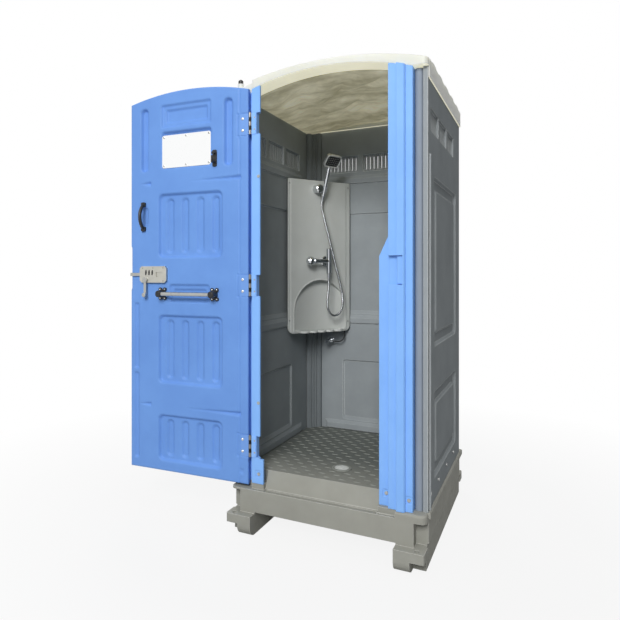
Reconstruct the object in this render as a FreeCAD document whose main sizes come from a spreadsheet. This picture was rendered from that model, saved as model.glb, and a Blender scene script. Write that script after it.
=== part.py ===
import FreeCAD, Part
import math
import os
import Sketcher
from FreeCAD import Placement, Rotation, Vector

# Portable shower cabin. Millimetres, +X to the right of someone facing the door, +Y to the back, +Z up.
# The origin is the middle of the walls' square plan, on the ground. The door rests open.

DIMENSIONS = {
    # skid base
    "skirt_half": 490, "skirt_front": 545, "skirt_low": 111, "ledge_top": 222, "pad_top": 250,
    "rim_half": 498, "rim_front": 490, "deck_half": 443, "deck_front": 462,
    "deck_back": 444, "floor_top": 306, "base_round": 30, "rim_chamfer": 6,
    "runner_in": 355, "runner_out": 484, "runner_end": 514, "lip_end": 595, "lip_low": 60, "lip_top": 104,
    "nose_round": 52, "nose_split": 427, "lip_round": 10, "anchor_x": 455, "anchor_y": 568,
    "anchor_radius": 12, "pocket_in": 435, "pocket_back": 490, "pocket_top": 212,
    "tie_half": 60, "tie_thick": 18, "corner_in": 352, "corner_soft": 12,
    "riser_foot": 498, "riser_edge": 1,
    "channel_left": -308, "channel_right": 337, "channel_pad": 262, "channel_front": 538,
    "channel_mid": 525, "channel_back": 500, "channel_deep": 7, "channel_round": 6,
    # floor drain
    "drain_x": 12, "drain_y": -270, "drain_radius": 50, "drain_bore": 40, "drain_depth": 45,
    "drain_flange": 4, "grate_thick": 4, "grate_slot": 6, "grate_pitch": 12, "grate_slots": 5,
    "drain_seat": 2, "grate_play": 0.5, "grate_rim": 8, "grate_rest_half": 30, "grate_rest_wide": 5,
    # walls, posts and jambs
    "wall_out": 488, "wall_in": 446, "wall_top": 2240, "wall_front": 493, "wall_shoulder": 443,
    "flange_in": 467, "wall_end": 489, "back_in": 447,
    "plinth_low": 307, "plinth_high": 366, "ridge_low": 994, "ridge_high": 1050,
    "brow_low": 1890, "brow_high": 1945, "ridge_half": 345, "ridge_shift": 55, "ridge_proud": 8,
    "ridge_slope": 22, "ridge_foot": 3,
    "niche_low": 392, "niche_low_top": 750, "niche_high": 1076, "niche_high_top": 1692,
    "niche_half": 215, "niche_shift": 90, "niche_deep": 9, "niche_side": 9, "niche_foot": 24,
    "niche_corner": 20,
    "moat_low": 350, "moat_split_low": 760, "moat_split_high": 970, "moat_high": 1770, "moat_half": 345,
    "moat_deep": 14, "moat_slope": 12, "moat_corner": 34, "moat_wide": 66, "pillow_sunk": 2,
    "pillow_corner": 24,
    "vent_low": 1966, "vent_high": 2070, "vent_wide": 206, "vent_pitch": 240, "vent_sunk": 12,
    "vent_slot": 11, "vent_slots": 8, "vent_edge": 12, "vent_shift_side": 90, "vent_shift_back": 14,
    "bead_along": 455, "bead_radius": 7, "bead_top": 1853,
    "post_in": 429, "post_out": 465, "post_back": 447, "post_top": 2235, "post_round": 16,
    "column_leg": 76, "column_foot": 16, "column_ridge": 5,
    "jamb_face": 524, "jamb_back": 470, "jamb_top": 2268, "jamb_step": 490,
    "hinge_jamb_edge": 380, "hinge_jamb_in": 334, "hinge_jamb_out": 426, "hinge_notch": 20,
    "hinge_edge_thick": 12, "hinge_slope_out": 376,
    "hinge_foot_in": 315, "hinge_foot_top": 375,
    "strike_in": 317, "strike_low_in": 269, "strike_bead_in": 357, "strike_bead_out": 395,
    "strike_out": 427, "bead_face": 541, "bead_soft": 6, "strike_plate_play": 4, "stop_face": 498,
    "stop_slope_low": 1395, "stop_slope_high": 1499,
    "strike_low": 1264, "strike_high": 1396, "strike_pocket_out": 384, "strike_pocket_back": 504,
    "strike_plate_thick": 3, "strike_lip_in": 360, "strike_lip_face": 532,
    # roof
    "roof_half": 492, "roof_front": 490, "roof_lip": 523, "roof_lip_left": 377, "roof_end": 494,
    "roof_low": 2240, "roof_side": 2271, "roof_crown": 2342, "roof_back_crown": 2312,
    "header_half": 460, "header_low": 2228, "header_crown": 2309, "header_deep": 80, "header_gap": 1,
    "ceiling_low": 2241, "ceiling_front_crown": 2317, "ceiling_back_crown": 2280, "ceiling_back": 430,
    "skirt_drop": 2190, "skirt_thick": 6, "roof_corner": 22,
    "rib_rise": 13, "rib_top": 70, "rib_ramp": 45, "rib_start": -361, "rib_step": 183, "roof_ribs": 5,
    "rib_root": 6, "roof_cap_radius": 13,
    "roof_cap_x": 472, "roof_cap_y": 472, "roof_cap_tall": 22, "roof_cap_soft": 6, "roof_pad_top": 2306,
    "roof_pad_margin": 3, "brow_tall": 200,
    # shower panel: left end on the left wall, its length to the back wall, its turn about Z
    "panel_start_x": -436, "panel_start_y": 45, "panel_turn": 56.6, "panel_length": 466,
    "panel_thick": 14, "panel_foot": 950, "panel_head": 1888, "panel_round": 36, "screw_left": 8,
    "screw_right": 16,
    "flange_left": 16, "flange_right": 434, "flange_drop": 3,
    "scoop_left": 42, "scoop_right": 428, "scoop_top": 1273, "scoop_low": 966, "scoop_deep": 34,
    "scoop_shell": 6, "shelf_left": 84, "shelf_right": 396, "shelf_lobes": 5, "shelf_out": 26,
    "shelf_thick": 12, "screw_radius": 5, "screw_proud": 2, "screw_drop": 28, "screw_rise_left": 80,
    "screw_rise_right": 60, "scoop_tool_back": 60,
    # mixer, hand shower and valve on the panel
    "mixer_along": 267, "mixer_high": 1390, "mixer_out": 56, "mixer_radius": 16, "mixer_low": 1310,
    "mixer_up": 1468, "outlet_radius": 9, "outlet_drop": 12, "mixer_flange_radius": 32,
    "mixer_flange_thick": 9, "neck_radius": 13, "neck_end": 166, "knob_radius": 28, "knob_far": 104,
    "knob_collar": 4,
    "inlet_end": 300, "inlet_behind": 18, "inlet_radius": 6, "mixer_soft": 4, "tail_behind": 26,
    "tail_play": 0.5, "inlet_run": 21,
    "bracket_along": 200, "bracket_high": 1833, "bracket_radius": 26, "bracket_long": 50,
    "cradle_along": 236, "cradle_out": 54, "cradle_radius": 17, "cradle_high": 36, "pivot_radius": 7,
    "pivot_reach": 34,
    "bracket_soft": 6, "cradle_gap": 3, "cradle_play": 0.4, "cradle_mouth": 14, "handle_taper": 1,
    "grip_run": 20, "head_set_back": 4, "head_overlap": 12, "spray_round": 12,
    "handle_low": 11, "handle_top": 13, "handle_lean": 13, "handle_slant": 5, "handle_below": 46,
    "handle_above": 150, "head_wide": 104, "head_tall": 80, "head_thick": 17, "head_round": 16,
    "head_tilt": 28, "spray_margin": 8, "spray_thick": 3,
    "hose_radius": 6.5, "hose_run": 34, "nut_radius": 9.5, "nut_long": 22, "nut_lip": 1,
    "valve_x": -299, "valve_z": 878, "valve_radius": 10, "valve_front": 376, "valve_flange": 22,
    "supply_radius": 4, "valve_wheel": 14, "valve_wheel_thick": 12, "valve_plate": 4.5,
    "valve_plate_gap": 0.5,
    "valve_outlet_radius": 7, "valve_outlet_back": 22, "valve_outlet_long": 26, "valve_stem": 4,
    "valve_stem_long": 7.5, "valve_scallop": 4, "valve_scallops": 6,
    # hinges
    "pin_x": -389, "pin_y": -527, "pin_radius": 4, "pin_play": 0.05, "knuckle_radius": 7,
    "hinge_tall": 108, "hinge_low": 435, "hinge_mid": 1253, "hinge_high": 2077, "leaf_thick": 2.5,
    "leaf_wide": 32, "door_leaf_wide": 51, "knuckle_gap": 0.6, "pin_head": 5.5, "pin_head_tall": 4,
    "leaf_start": 4, "knuckle_clear": 1.5, "leaf_screw_radius": 4.5, "leaf_screw_rise": 30,
    "jamb_screw_along": 26, "door_screw_along": 42, "door_screw_radius": 7,
    # door, in its own frame: along from the pin, thickness towards the outside, height
    "door_open_angle": 177, "door_near": 10, "door_far": 736, "door_thick": 31, "door_low": 237,
    "door_corner": 2258, "door_crown": 2304, "stile_line": 55, "line_wide": 4, "line_deep": 4,
    "hinge_pad_edge": 66, "hinge_pad_half": 62, "leaf_recess_play": 1, "door_round": 6,
    "slot_near_low": 97, "slot_near_high": 153, "slot_far_low": 618, "slot_far_high": 672,
    "slot_low": 1872, "slot_high": 2230, "slot_deep": 9,
    "plate_near": 226, "plate_far": 538, "plate_low": 2108, "plate_high": 2236, "plate_deep": 5,
    "plate_step": 18, "plate_step_deep": 10,
    "mirror_near": 226, "mirror_far": 531, "mirror_low": 1887, "mirror_high": 2068, "mirror_thick": 3,
    "mirror_gap": 1.5, "mirror_round": 12, "rivet_radius": 5, "rivet_proud": 2, "rivet_inset": 13,
    "field_near": 157, "field_far": 557, "field_round": 22, "field_deep": 8,
    "upper_low": 1397, "upper_high": 1752, "middle_low": 712, "middle_high": 1090,
    "lower_low": 288, "lower_high": 545, "rib_first": 205, "rib_pitch": 93.7, "rib_wide": 50, "ribs": 4,
    "rib_margin": 24, "rib_sunk": 1.5, "seam_high": 1808, "seam_low": 590, "seam_near": 376,
    "seam_far": 612,
    "edge_near": 678, "edge_far": 716, "edge_low": 284, "edge_break": 775, "edge_high": 1154,
    "edge_gap": 8, "edge_deep": 4, "notch_low": 1221, "notch_high": 1468, "notch_deep": 5,
    "back_panel_inset": 70, "back_panel_deep": 5, "back_panel_draft": 14,
    "back_split_low": 1121, "back_split_high": 1298,
    # door fittings
    "grip_along": 648, "grip_low": 1548, "grip_high": 1708, "grip_out": 42, "grip_radius": 9,
    "grip_plate": 6,
    "grip_foot": 13, "grip_cup_deep": 12, "grip_cup_half": 30, "grip_cup_inset": 20, "grip_foot_round": 8,
    "hook_along": 203, "hook_low": 1874, "hook_high": 1962, "hook_wide": 26, "hook_plate": 4,
    "hook_out": 34, "hook_radius": 5, "hook_arm_rise": 22, "hook_tip_tall": 36, "hook_peg_drop": 18,
    "hook_peg_out": 24, "hook_round": 8, "hook_peg_lip": 3, "hook_peg_end": 6,
    "case_near": 494, "case_far": 667, "case_low": 1264, "case_high": 1354, "case_thick": 16,
    "case_corner": 12, "bolt_low": 1300, "bolt_high": 1318, "bolt_inner": 4, "bolt_outer": 12,
    "bolt_play": 0.5, "bolt_tail": 575, "bolt_tip": 733, "bolt_soft": 2,
    "lever_along": 628, "lever_high": 1280, "lever_long": 84, "lever_thick": 7, "lever_radius": 8,
    "lever_hub": 14, "lever_ball": 12, "spindle_radius": 5, "spindle_play": 0.3, "disc_radius": 24,
    "disc_thick": 4, "window_near": 520, "window_far": 560, "window_low": 1296, "window_high": 1322,
    "window_deep": 5, "lever_gap": 0.6, "lever_rise": 3, "lever_soft": 5, "spindle_grip": 6,
    "coin_slot_half": 12,
    "coin_slot_wide": 5, "coin_slot_deep": 2,
    "bar_high": 1204, "bar_out": 40, "bar_radius": 11, "bar_near": 202, "bar_far": 524,
    "lobe_along": 14, "lobe_rise": 24, "lobe_radius": 10, "bracket_plate": 9, "boss_radius": 18,
    "boss_out": 55, "boss_soft": 5,
    "bar_recess_near": 232, "bar_recess_far": 488, "bar_recess_low": 1160, "bar_recess_high": 1256,
    "bar_recess_deep": 5, "bar_step": 20, "bar_step_deep": 9,
    # fasteners
    "bolt_head": 8, "bolt_proud": 5, "flush_proud": 2, "wall_bolt_rise": 68, "pad_side": 34, "pad_deep": 2,
    "hinge_bolt_in": 8, "hinge_bolt_high": 1807, "hinge_bolt_low": 659, "foot_bolt_in": 6,
    "foot_bolt_high": 300,
    "stop_bolt_in": 34, "stop_bolt_high": 309, "strike_bolt_out": 16, "strike_bolt_high": 303,
    "back_bolt_shift": 98,
}

doc = FreeCAD.newDocument("shower_cabin")
sheet = doc.addObject("Spreadsheet::Sheet", "dims")
for row, (alias, number) in enumerate(DIMENSIONS.items(), start=1):
    sheet.set(f"A{row}", alias)
    sheet.set(f"B{row}", str(number))
    sheet.setAlias(f"B{row}", alias)
doc.recompute()


class Size:
    """A length that knows its value and the sheet expression it comes from."""

    def __init__(self, value, text):
        self.value = float(value)
        self.text = text

    def __add__(self, other):
        other = as_size(other)
        return Size(self.value + other.value, f"({self.text} + {other.text})")

    def __sub__(self, other):
        other = as_size(other)
        return Size(self.value - other.value, f"({self.text} - {other.text})")

    def __mul__(self, factor):
        return Size(self.value * factor, f"({self.text} * {factor})")

    def __truediv__(self, factor):
        return Size(self.value / factor, f"({self.text} / {factor})")

    def __neg__(self):
        return Size(-self.value, f"(-1 * {self.text})")

    def __rmul__(self, factor):
        return self * factor

    def __radd__(self, other):
        return as_size(other) + self

    def __rsub__(self, other):
        return as_size(other) - self

    def __float__(self):
        return self.value


def as_size(number):
    return number if isinstance(number, Size) else Size(number, repr(float(number)))


class Sheet:
    """The sheet's cells as attributes."""

    def __getattr__(self, alias):
        return Size(DIMENSIONS[alias], f"dims.{alias}")


d = Sheet()
nodes = []
# how far a cutting tool overshoots a face, and how far a keeping tool overshoots its piece
THROUGH = 2.0
SPARE = 10.0
# how far a flat fitting lies under the face that it is let into
SUNK = 0.3
# gap left between two mouldings
WALL_JOINT = 0.5


def bind(obj, prop, size):
    obj.setExpression(prop, as_size(size).text)


def put(obj, x, y, z):
    for axis, size in zip("xyz", (x, y, z)):
        bind(obj, f"Placement.Base.{axis}", size)
    return obj


def box(name, x, y, z):
    """A block between two values on each axis."""
    obj = doc.addObject("Part::Box", name)
    for prop, span in zip(("Length", "Width", "Height"), (x, y, z)):
        bind(obj, prop, as_size(span[1]) - span[0])
    return put(obj, x[0], y[0], z[0])


TURNS = {"x": Rotation(Vector(0, 1, 0), 90), "y": Rotation(Vector(1, 0, 0), -90), "z": Rotation()}


def rod(name, radius, axis, start, length):
    """A cylinder from a start point along one axis."""
    obj = doc.addObject("Part::Cylinder", name)
    bind(obj, "Radius", radius)
    bind(obj, "Height", length)
    obj.Placement.Rotation = TURNS[axis]
    return put(obj, *start)


def fuse(name, *parts):
    obj = doc.addObject("Part::MultiFuse", name)
    obj.Shapes = list(parts)
    obj.Refine = True
    return obj


def cut(name, base, *tools):
    obj = doc.addObject("Part::Cut", name)
    obj.Base = base
    obj.Tool = tools[0] if len(tools) == 1 else fuse(name + "_tools", *tools)
    obj.Refine = True
    return obj


def common(name, first, second):
    obj = doc.addObject("Part::Common", name)
    obj.Base = first
    obj.Tool = second
    return obj


def group(name, *parts):
    obj = doc.addObject("Part::Compound", name)
    obj.Links = list(parts)
    return obj


def mirror(name, source, normal):
    obj = doc.addObject("Part::Mirroring", name)
    obj.Source = source
    obj.Normal = Vector(*normal)
    return obj


def soften(name, base, size, pick, kind="Part::Fillet"):
    """Rounds or chamfers the edges that pick accepts."""
    doc.recompute()
    obj = doc.addObject(kind, name)
    obj.Base = base
    reach = float(size)
    obj.Edges = [(i, reach, reach) for i, edge in enumerate(base.Shape.Edges, start=1) if pick(edge)]
    return obj


def runs_along(axis):
    """Picks straight edges parallel to an axis."""
    unit = {"x": Vector(1, 0, 0), "y": Vector(0, 1, 0), "z": Vector(0, 0, 1)}[axis]

    def pick(edge):
        if not isinstance(edge.Curve, Part.Line):
            return False
        return abs(edge.tangentAt(edge.FirstParameter).dot(unit)) > 0.999
    return pick


def soft_box(name, x, y, z, radius, axis):
    return soften(name, box(name + "_block", x, y, z), radius, runs_along(axis))


def obround(name, x, y, z):
    """An upright slot with round ends, through the span y."""
    radius = (as_size(x[1]) - x[0]) / 2
    middle = as_size(x[0]) + radius
    deep = as_size(y[1]) - y[0]
    low = as_size(z[0]) + radius
    high = as_size(z[1]) - radius
    return fuse(name, box(name + "_run", x, y, (low, high)),
                rod(name + "_foot", radius, "y", (middle, y[0], low), deep),
                rod(name + "_head", radius, "y", (middle, y[0], high), deep))


def drafted(name, x, y, z, draft, foot=None):
    """A block between two y planes that is smaller all round at the second plane, by draft.

    foot is the draft of its lower side, where that differs.
    """
    foot = draft if foot is None else foot
    obj = doc.addObject("Part::Wedge", name)
    sizes = {"Xmin": x[0], "Xmax": x[1], "Ymin": y[0], "Ymax": y[1], "Zmin": z[0], "Zmax": z[1],
             "X2min": as_size(x[0]) + draft, "X2max": as_size(x[1]) - draft,
             "Z2min": as_size(z[0]) + foot, "Z2max": as_size(z[1]) - draft}
    for prop, size in sizes.items():
        bind(obj, prop, size)
    return obj


def bank(name, x, y, z, edge):
    """A sloping bank: an edge's height at the first y plane, the full height at the second."""
    obj = doc.addObject("Part::Wedge", name)
    sizes = {"Xmin": x[0], "Xmax": x[1], "X2min": x[0], "X2max": x[1], "Ymin": y[0], "Ymax": y[1],
             "Zmin": z[0], "Zmax": z[0] + edge, "Z2min": z[0], "Z2max": z[1]}
    for prop, size in sizes.items():
        bind(obj, prop, size)
    return obj


def body_with_outline(name, plane_role, corners):
    """A PartDesign body with a closed straight-sided sketch whose corners are tied to the sheet."""
    body = doc.addObject("PartDesign::Body", name)
    sketch = body.newObject("Sketcher::SketchObject", name + "_outline")
    plane = next(f for f in body.Origin.OriginFeatures if f.Role == plane_role)
    sketch.AttachmentSupport = [(plane, "")]
    sketch.MapMode = "FlatFace"
    points = [Vector(float(u), float(v), 0) for u, v in corners]
    count = len(points)
    for i in range(count):
        sketch.addGeometry(Part.LineSegment(points[i], points[(i + 1) % count]))
    for i, corner in enumerate(corners):
        sketch.addConstraint(Sketcher.Constraint("Coincident", i, 2, (i + 1) % count, 1))
        for kind, size in zip(("DistanceX", "DistanceY"), corner):
            index = sketch.addConstraint(Sketcher.Constraint(kind, -1, 1, i, 1, float(size)))
            bind(sketch, f"Constraints[{index}]", size)
    return body, sketch


def padded(name, corners, low, high):
    """A plan outline pulled up from one height to another."""
    body, sketch = body_with_outline(name, "XY_Plane", corners)
    pad = body.newObject("PartDesign::Pad", name + "_pad")
    pad.Profile = sketch
    bind(pad, "Length", as_size(high) - low)
    bind(body, "Placement.Base.z", low)
    return body


def revolved(name, corners):
    """An outline of (distance along X, radius) turned about the X axis."""
    body, sketch = body_with_outline(name, "XY_Plane", corners)
    turn = body.newObject("PartDesign::Revolution", name + "_turn")
    turn.Profile = sketch
    turn.ReferenceAxis = (sketch, ["H_Axis"])
    turn.Angle = 360
    return body


def node(label, obj):
    """Registers a finished sub-part."""
    obj.Label = label
    nodes.append(obj)
    return obj


def on_door(label, obj):
    """Registers a sub-part made in the closed door's frame and swings it open about the hinge pins."""
    obj.Placement = Placement(Vector(), Rotation(Vector(0, 0, -1), float(d.door_open_angle)))
    bind(obj, "Placement.Base.x", d.pin_x)
    bind(obj, "Placement.Base.y", d.pin_y)
    bind(obj, "Placement.Rotation.Angle", d.door_open_angle)
    return node(label, obj)


def on_panel(label, obj):
    """Registers a sub-part made in the shower panel's frame: along it, out of it towards -Y, up."""
    obj.Placement = Placement(Vector(), Rotation(Vector(0, 0, 1), float(d.panel_turn)))
    bind(obj, "Placement.Base.x", d.panel_start_x)
    bind(obj, "Placement.Base.y", d.panel_start_y)
    bind(obj, "Placement.Rotation.Angle", d.panel_turn)
    return node(label, obj)


def panel_frame():
    turn = Rotation(Vector(0, 0, 1), float(d.panel_turn))
    return Placement(Vector(float(d.panel_start_x), float(d.panel_start_y), 0), turn)


def panel_point(along, out, high):
    """A point in the shower panel's frame: along it, out of it into the room, up."""
    return panel_frame().multVec(Vector(along, -out, high))


def tube(points, radius):
    """A round tube along straight runs joined by the largest tangent arcs that the runs allow."""
    legs = [(b - a).Length for a, b in zip(points, points[1:])]
    edges = []
    radii = []
    start = points[0]
    for i in range(1, len(points) - 1):
        into = (points[i] - points[i - 1]).normalize()
        out = (points[i + 1] - points[i]).normalize()
        setback = 0.45 * min(legs[i - 1], legs[i])
        turn = into.getAngle(out)
        radii.append(setback / math.tan(turn / 2))
        first = points[i] - into * setback
        last = points[i] + out * setback
        bisector = (out - into).normalize()
        centre = points[i] + bisector * (radii[-1] / math.cos(turn / 2))
        middle = centre - bisector * radii[-1]
        edges.append(Part.LineSegment(start, first).toShape())
        edges.append(Part.Arc(first, middle, last).toShape())
        start = last
    edges.append(Part.LineSegment(start, points[-1]).toShape())
    path = Part.Wire(edges)
    ring = Part.Wire(Part.Circle(points[0], points[1] - points[0], float(radius)).toShape())
    shape = path.makePipeShell([ring], True, False)
    expected = math.pi * float(radius) ** 2 * path.Length
    print("tube length %.0f, least radius %.0f, volume ratio %.4f, radii %s" % (
        path.Length, min(radii), shape.Volume / expected, [round(r) for r in radii]))
    return shape


# Skid base: skirt, wall rim, raised floor deck, two runners with anchor feet and a low tie between them

def make_foot():
    """The right front foot: a sled nose, and beside it a lip with an anchor hole over a tie-down gap."""
    nose = box("nose_block", (d.runner_in, d.nose_split), (-d.lip_end, -d.runner_end), (0, d.lip_top))

    def lower_front(edge):
        centre = edge.CenterOfMass
        return centre.z < 1 and centre.y < -float(d.lip_end) + 1
    nose = soften("nose", nose, d.nose_round, lower_front)
    lip = box("lip_block", (d.nose_split, d.skirt_half), (-d.lip_end, -d.runner_end),
              (d.lip_low, d.lip_top))

    def outer_corner(edge):
        centre = edge.CenterOfMass
        outside = centre.x > float(d.skirt_half) - 1 and centre.y < -float(d.lip_end) + 1
        return outside and runs_along("z")(edge)
    lip = soften("lip", lip, d.lip_round, outer_corner)
    hole = rod("anchor_hole", d.anchor_radius, "z", (d.anchor_x, -d.anchor_y, d.lip_low - THROUGH),
               d.lip_top - d.lip_low + 2 * THROUGH)
    return cut("foot_front_right", fuse("foot_blank", nose, lip), hole)


def make_base():
    skirt = soft_box("skirt", (-d.skirt_half, d.skirt_half), (-d.skirt_front, d.skirt_front),
                     (d.skirt_low, d.ledge_top), d.base_round, "z")
    rim_block = box("rim_block", (-d.rim_half, d.rim_half), (-d.rim_front, d.skirt_front),
                    (d.ledge_top, d.pad_top))

    def outer_top(edge):
        centre = edge.CenterOfMass
        return centre.z > float(d.pad_top) - 1 and centre.y > -float(d.rim_front) + 1
    rim = soften("rim", rim_block, d.rim_chamfer, outer_top, "Part::Chamfer")
    doorway = box("doorway_rebate", (-d.hinge_foot_in, d.strike_low_in),
                  (-d.rim_front - THROUGH, -d.deck_front), (d.ledge_top, d.pad_top))
    rim = cut("rim_open", rim, doorway)
    deck = box("deck", (-d.deck_half, d.deck_half), (-d.deck_front, d.deck_back),
               (d.ledge_top, d.floor_top))
    riser = bank("riser", (-d.hinge_foot_in, d.strike_low_in), (-d.riser_foot, -d.deck_front),
                 (d.ledge_top, d.floor_top), d.riser_edge)
    hinge_pad = box("hinge_pad", (-d.hinge_jamb_edge, -d.hinge_foot_in),
                    (-d.jamb_face + THROUGH, -d.rim_front), (d.ledge_top, d.pad_top))
    strike_pad = box("strike_pad", (d.strike_low_in, d.post_out), (-d.jamb_face + THROUGH, -d.rim_front),
                     (d.ledge_top, d.pad_top))
    corner_block = box("corner_block", (d.corner_in, d.skirt_half), (-d.skirt_front, -d.rim_front),
                       (d.ledge_top, d.pad_top))

    def corner_upright(edge):
        centre = edge.CenterOfMass
        outside = centre.x > float(d.skirt_half) - 1 and centre.y < -float(d.skirt_front) + 1
        return outside and runs_along("z")(edge)
    corner = soften("corner_round", corner_block, d.base_round, corner_upright)

    def corner_brow(edge):
        centre = edge.CenterOfMass
        return centre.z > float(d.pad_top) - 1 and centre.y < -float(d.skirt_front) + 1
    corner = soften("corner_soft", corner, d.corner_soft, corner_brow)
    runner = box("runner_right", (d.runner_in, d.runner_out), (-d.runner_end, d.runner_end),
                 (0, d.skirt_low))
    leg = box("leg_right", (d.runner_in, d.pocket_in), (-d.skirt_front, -d.runner_end),
              (d.lip_top, d.skirt_low))
    foot = make_foot()
    feet = [foot, mirror("foot_front_left", foot, (1, 0, 0)), mirror("foot_back_right", foot, (0, 1, 0))]
    feet.append(mirror("foot_back_left", feet[1], (0, 1, 0)))
    tie = box("tie", (-d.runner_in, d.runner_in), (-d.tie_half, d.tie_half), (0, d.tie_thick))
    blank = fuse("base_blank", skirt, rim, deck, hinge_pad, strike_pad, corner, runner,
                 mirror("runner_left", runner, (1, 0, 0)), leg, mirror("leg_left", leg, (1, 0, 0)),
                 riser, tie, *feet)
    channel = (d.ledge_top - d.channel_deep, d.ledge_top + THROUGH)
    pockets = [soft_box("channel_wide", (d.channel_left, d.channel_pad), (-d.channel_front, -d.channel_back),
                        channel, d.channel_round, "z"),
               soft_box("channel_long", (d.channel_left, d.channel_right),
                        (-d.channel_front, -d.channel_mid), channel, d.channel_round, "z")]
    for side, sign in (("right", 1), ("left", -1)):
        span = sorted((sign * d.pocket_in, sign * (d.skirt_half + THROUGH)), key=float)
        for end, towards in (("front", -1), ("back", 1)):
            reach = sorted((towards * d.pocket_back, towards * (d.skirt_front + THROUGH)), key=float)
            pockets.append(box(f"pocket_{end}_{side}", span, reach, (d.lip_top, d.pocket_top)))
    for side, sign in (("right", 1), ("left", -1)):
        across = sorted((sign * d.post_in, sign * (d.post_out + THROUGH)), key=float)
        pockets.append(box(f"post_seat_{side}", across, (-d.wall_front, -d.post_back),
                           (d.pad_top, d.floor_top + THROUGH)))
    sump = rod("sump", d.drain_bore, "z", (d.drain_x, d.drain_y, d.floor_top - d.drain_depth),
               d.drain_depth + THROUGH)
    node("base", cut("base_cut", blank, sump, *pockets))


def make_drain():
    floor = d.floor_top
    ring = rod("drain_flange_disc", d.drain_radius, "z", (d.drain_x, d.drain_y, floor), d.drain_flange)
    bore = rod("drain_seat", d.drain_bore - d.drain_seat, "z", (d.drain_x, d.drain_y, floor - THROUGH),
               d.drain_flange + 2 * THROUGH)
    node("drain_ring", cut("drain_ring_cut", ring, bore))
    disc = rod("grate_disc", d.drain_bore - d.drain_seat - d.grate_play, "z",
               (d.drain_x, d.drain_y, floor), d.grate_thick)
    slots = []
    for i in range(DIMENSIONS["grate_slots"]):
        offset = (i - (DIMENSIONS["grate_slots"] - 1) / 2) * d.grate_pitch.value
        half = math.sqrt((d.drain_bore.value - d.grate_rim.value) ** 2 - offset ** 2)
        slots.append(box(f"grate_slot_{i}", (d.drain_x - half, d.drain_x + half),
                         (d.drain_y + offset - d.grate_slot / 2, d.drain_y + offset + d.grate_slot / 2),
                         (floor - THROUGH, floor + d.grate_thick + THROUGH)))
    rests = []
    for i, middle in enumerate((d.drain_y - d.grate_pitch / 2, d.drain_y + d.grate_pitch / 2)):
        rests.append(box(f"grate_rest_{i}", (d.drain_x - d.grate_rest_half, d.drain_x + d.grate_rest_half),
                         (middle - d.grate_rest_wide / 2, middle + d.grate_rest_wide / 2),
                         (floor - d.drain_depth, floor)))
    node("drain_grate", fuse("drain_grate_all", cut("grate_cut", disc, *slots), *rests))


# Walls: moulded panels whose fields are sunk outside and stand proud inside, with vent slots near the top

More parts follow.
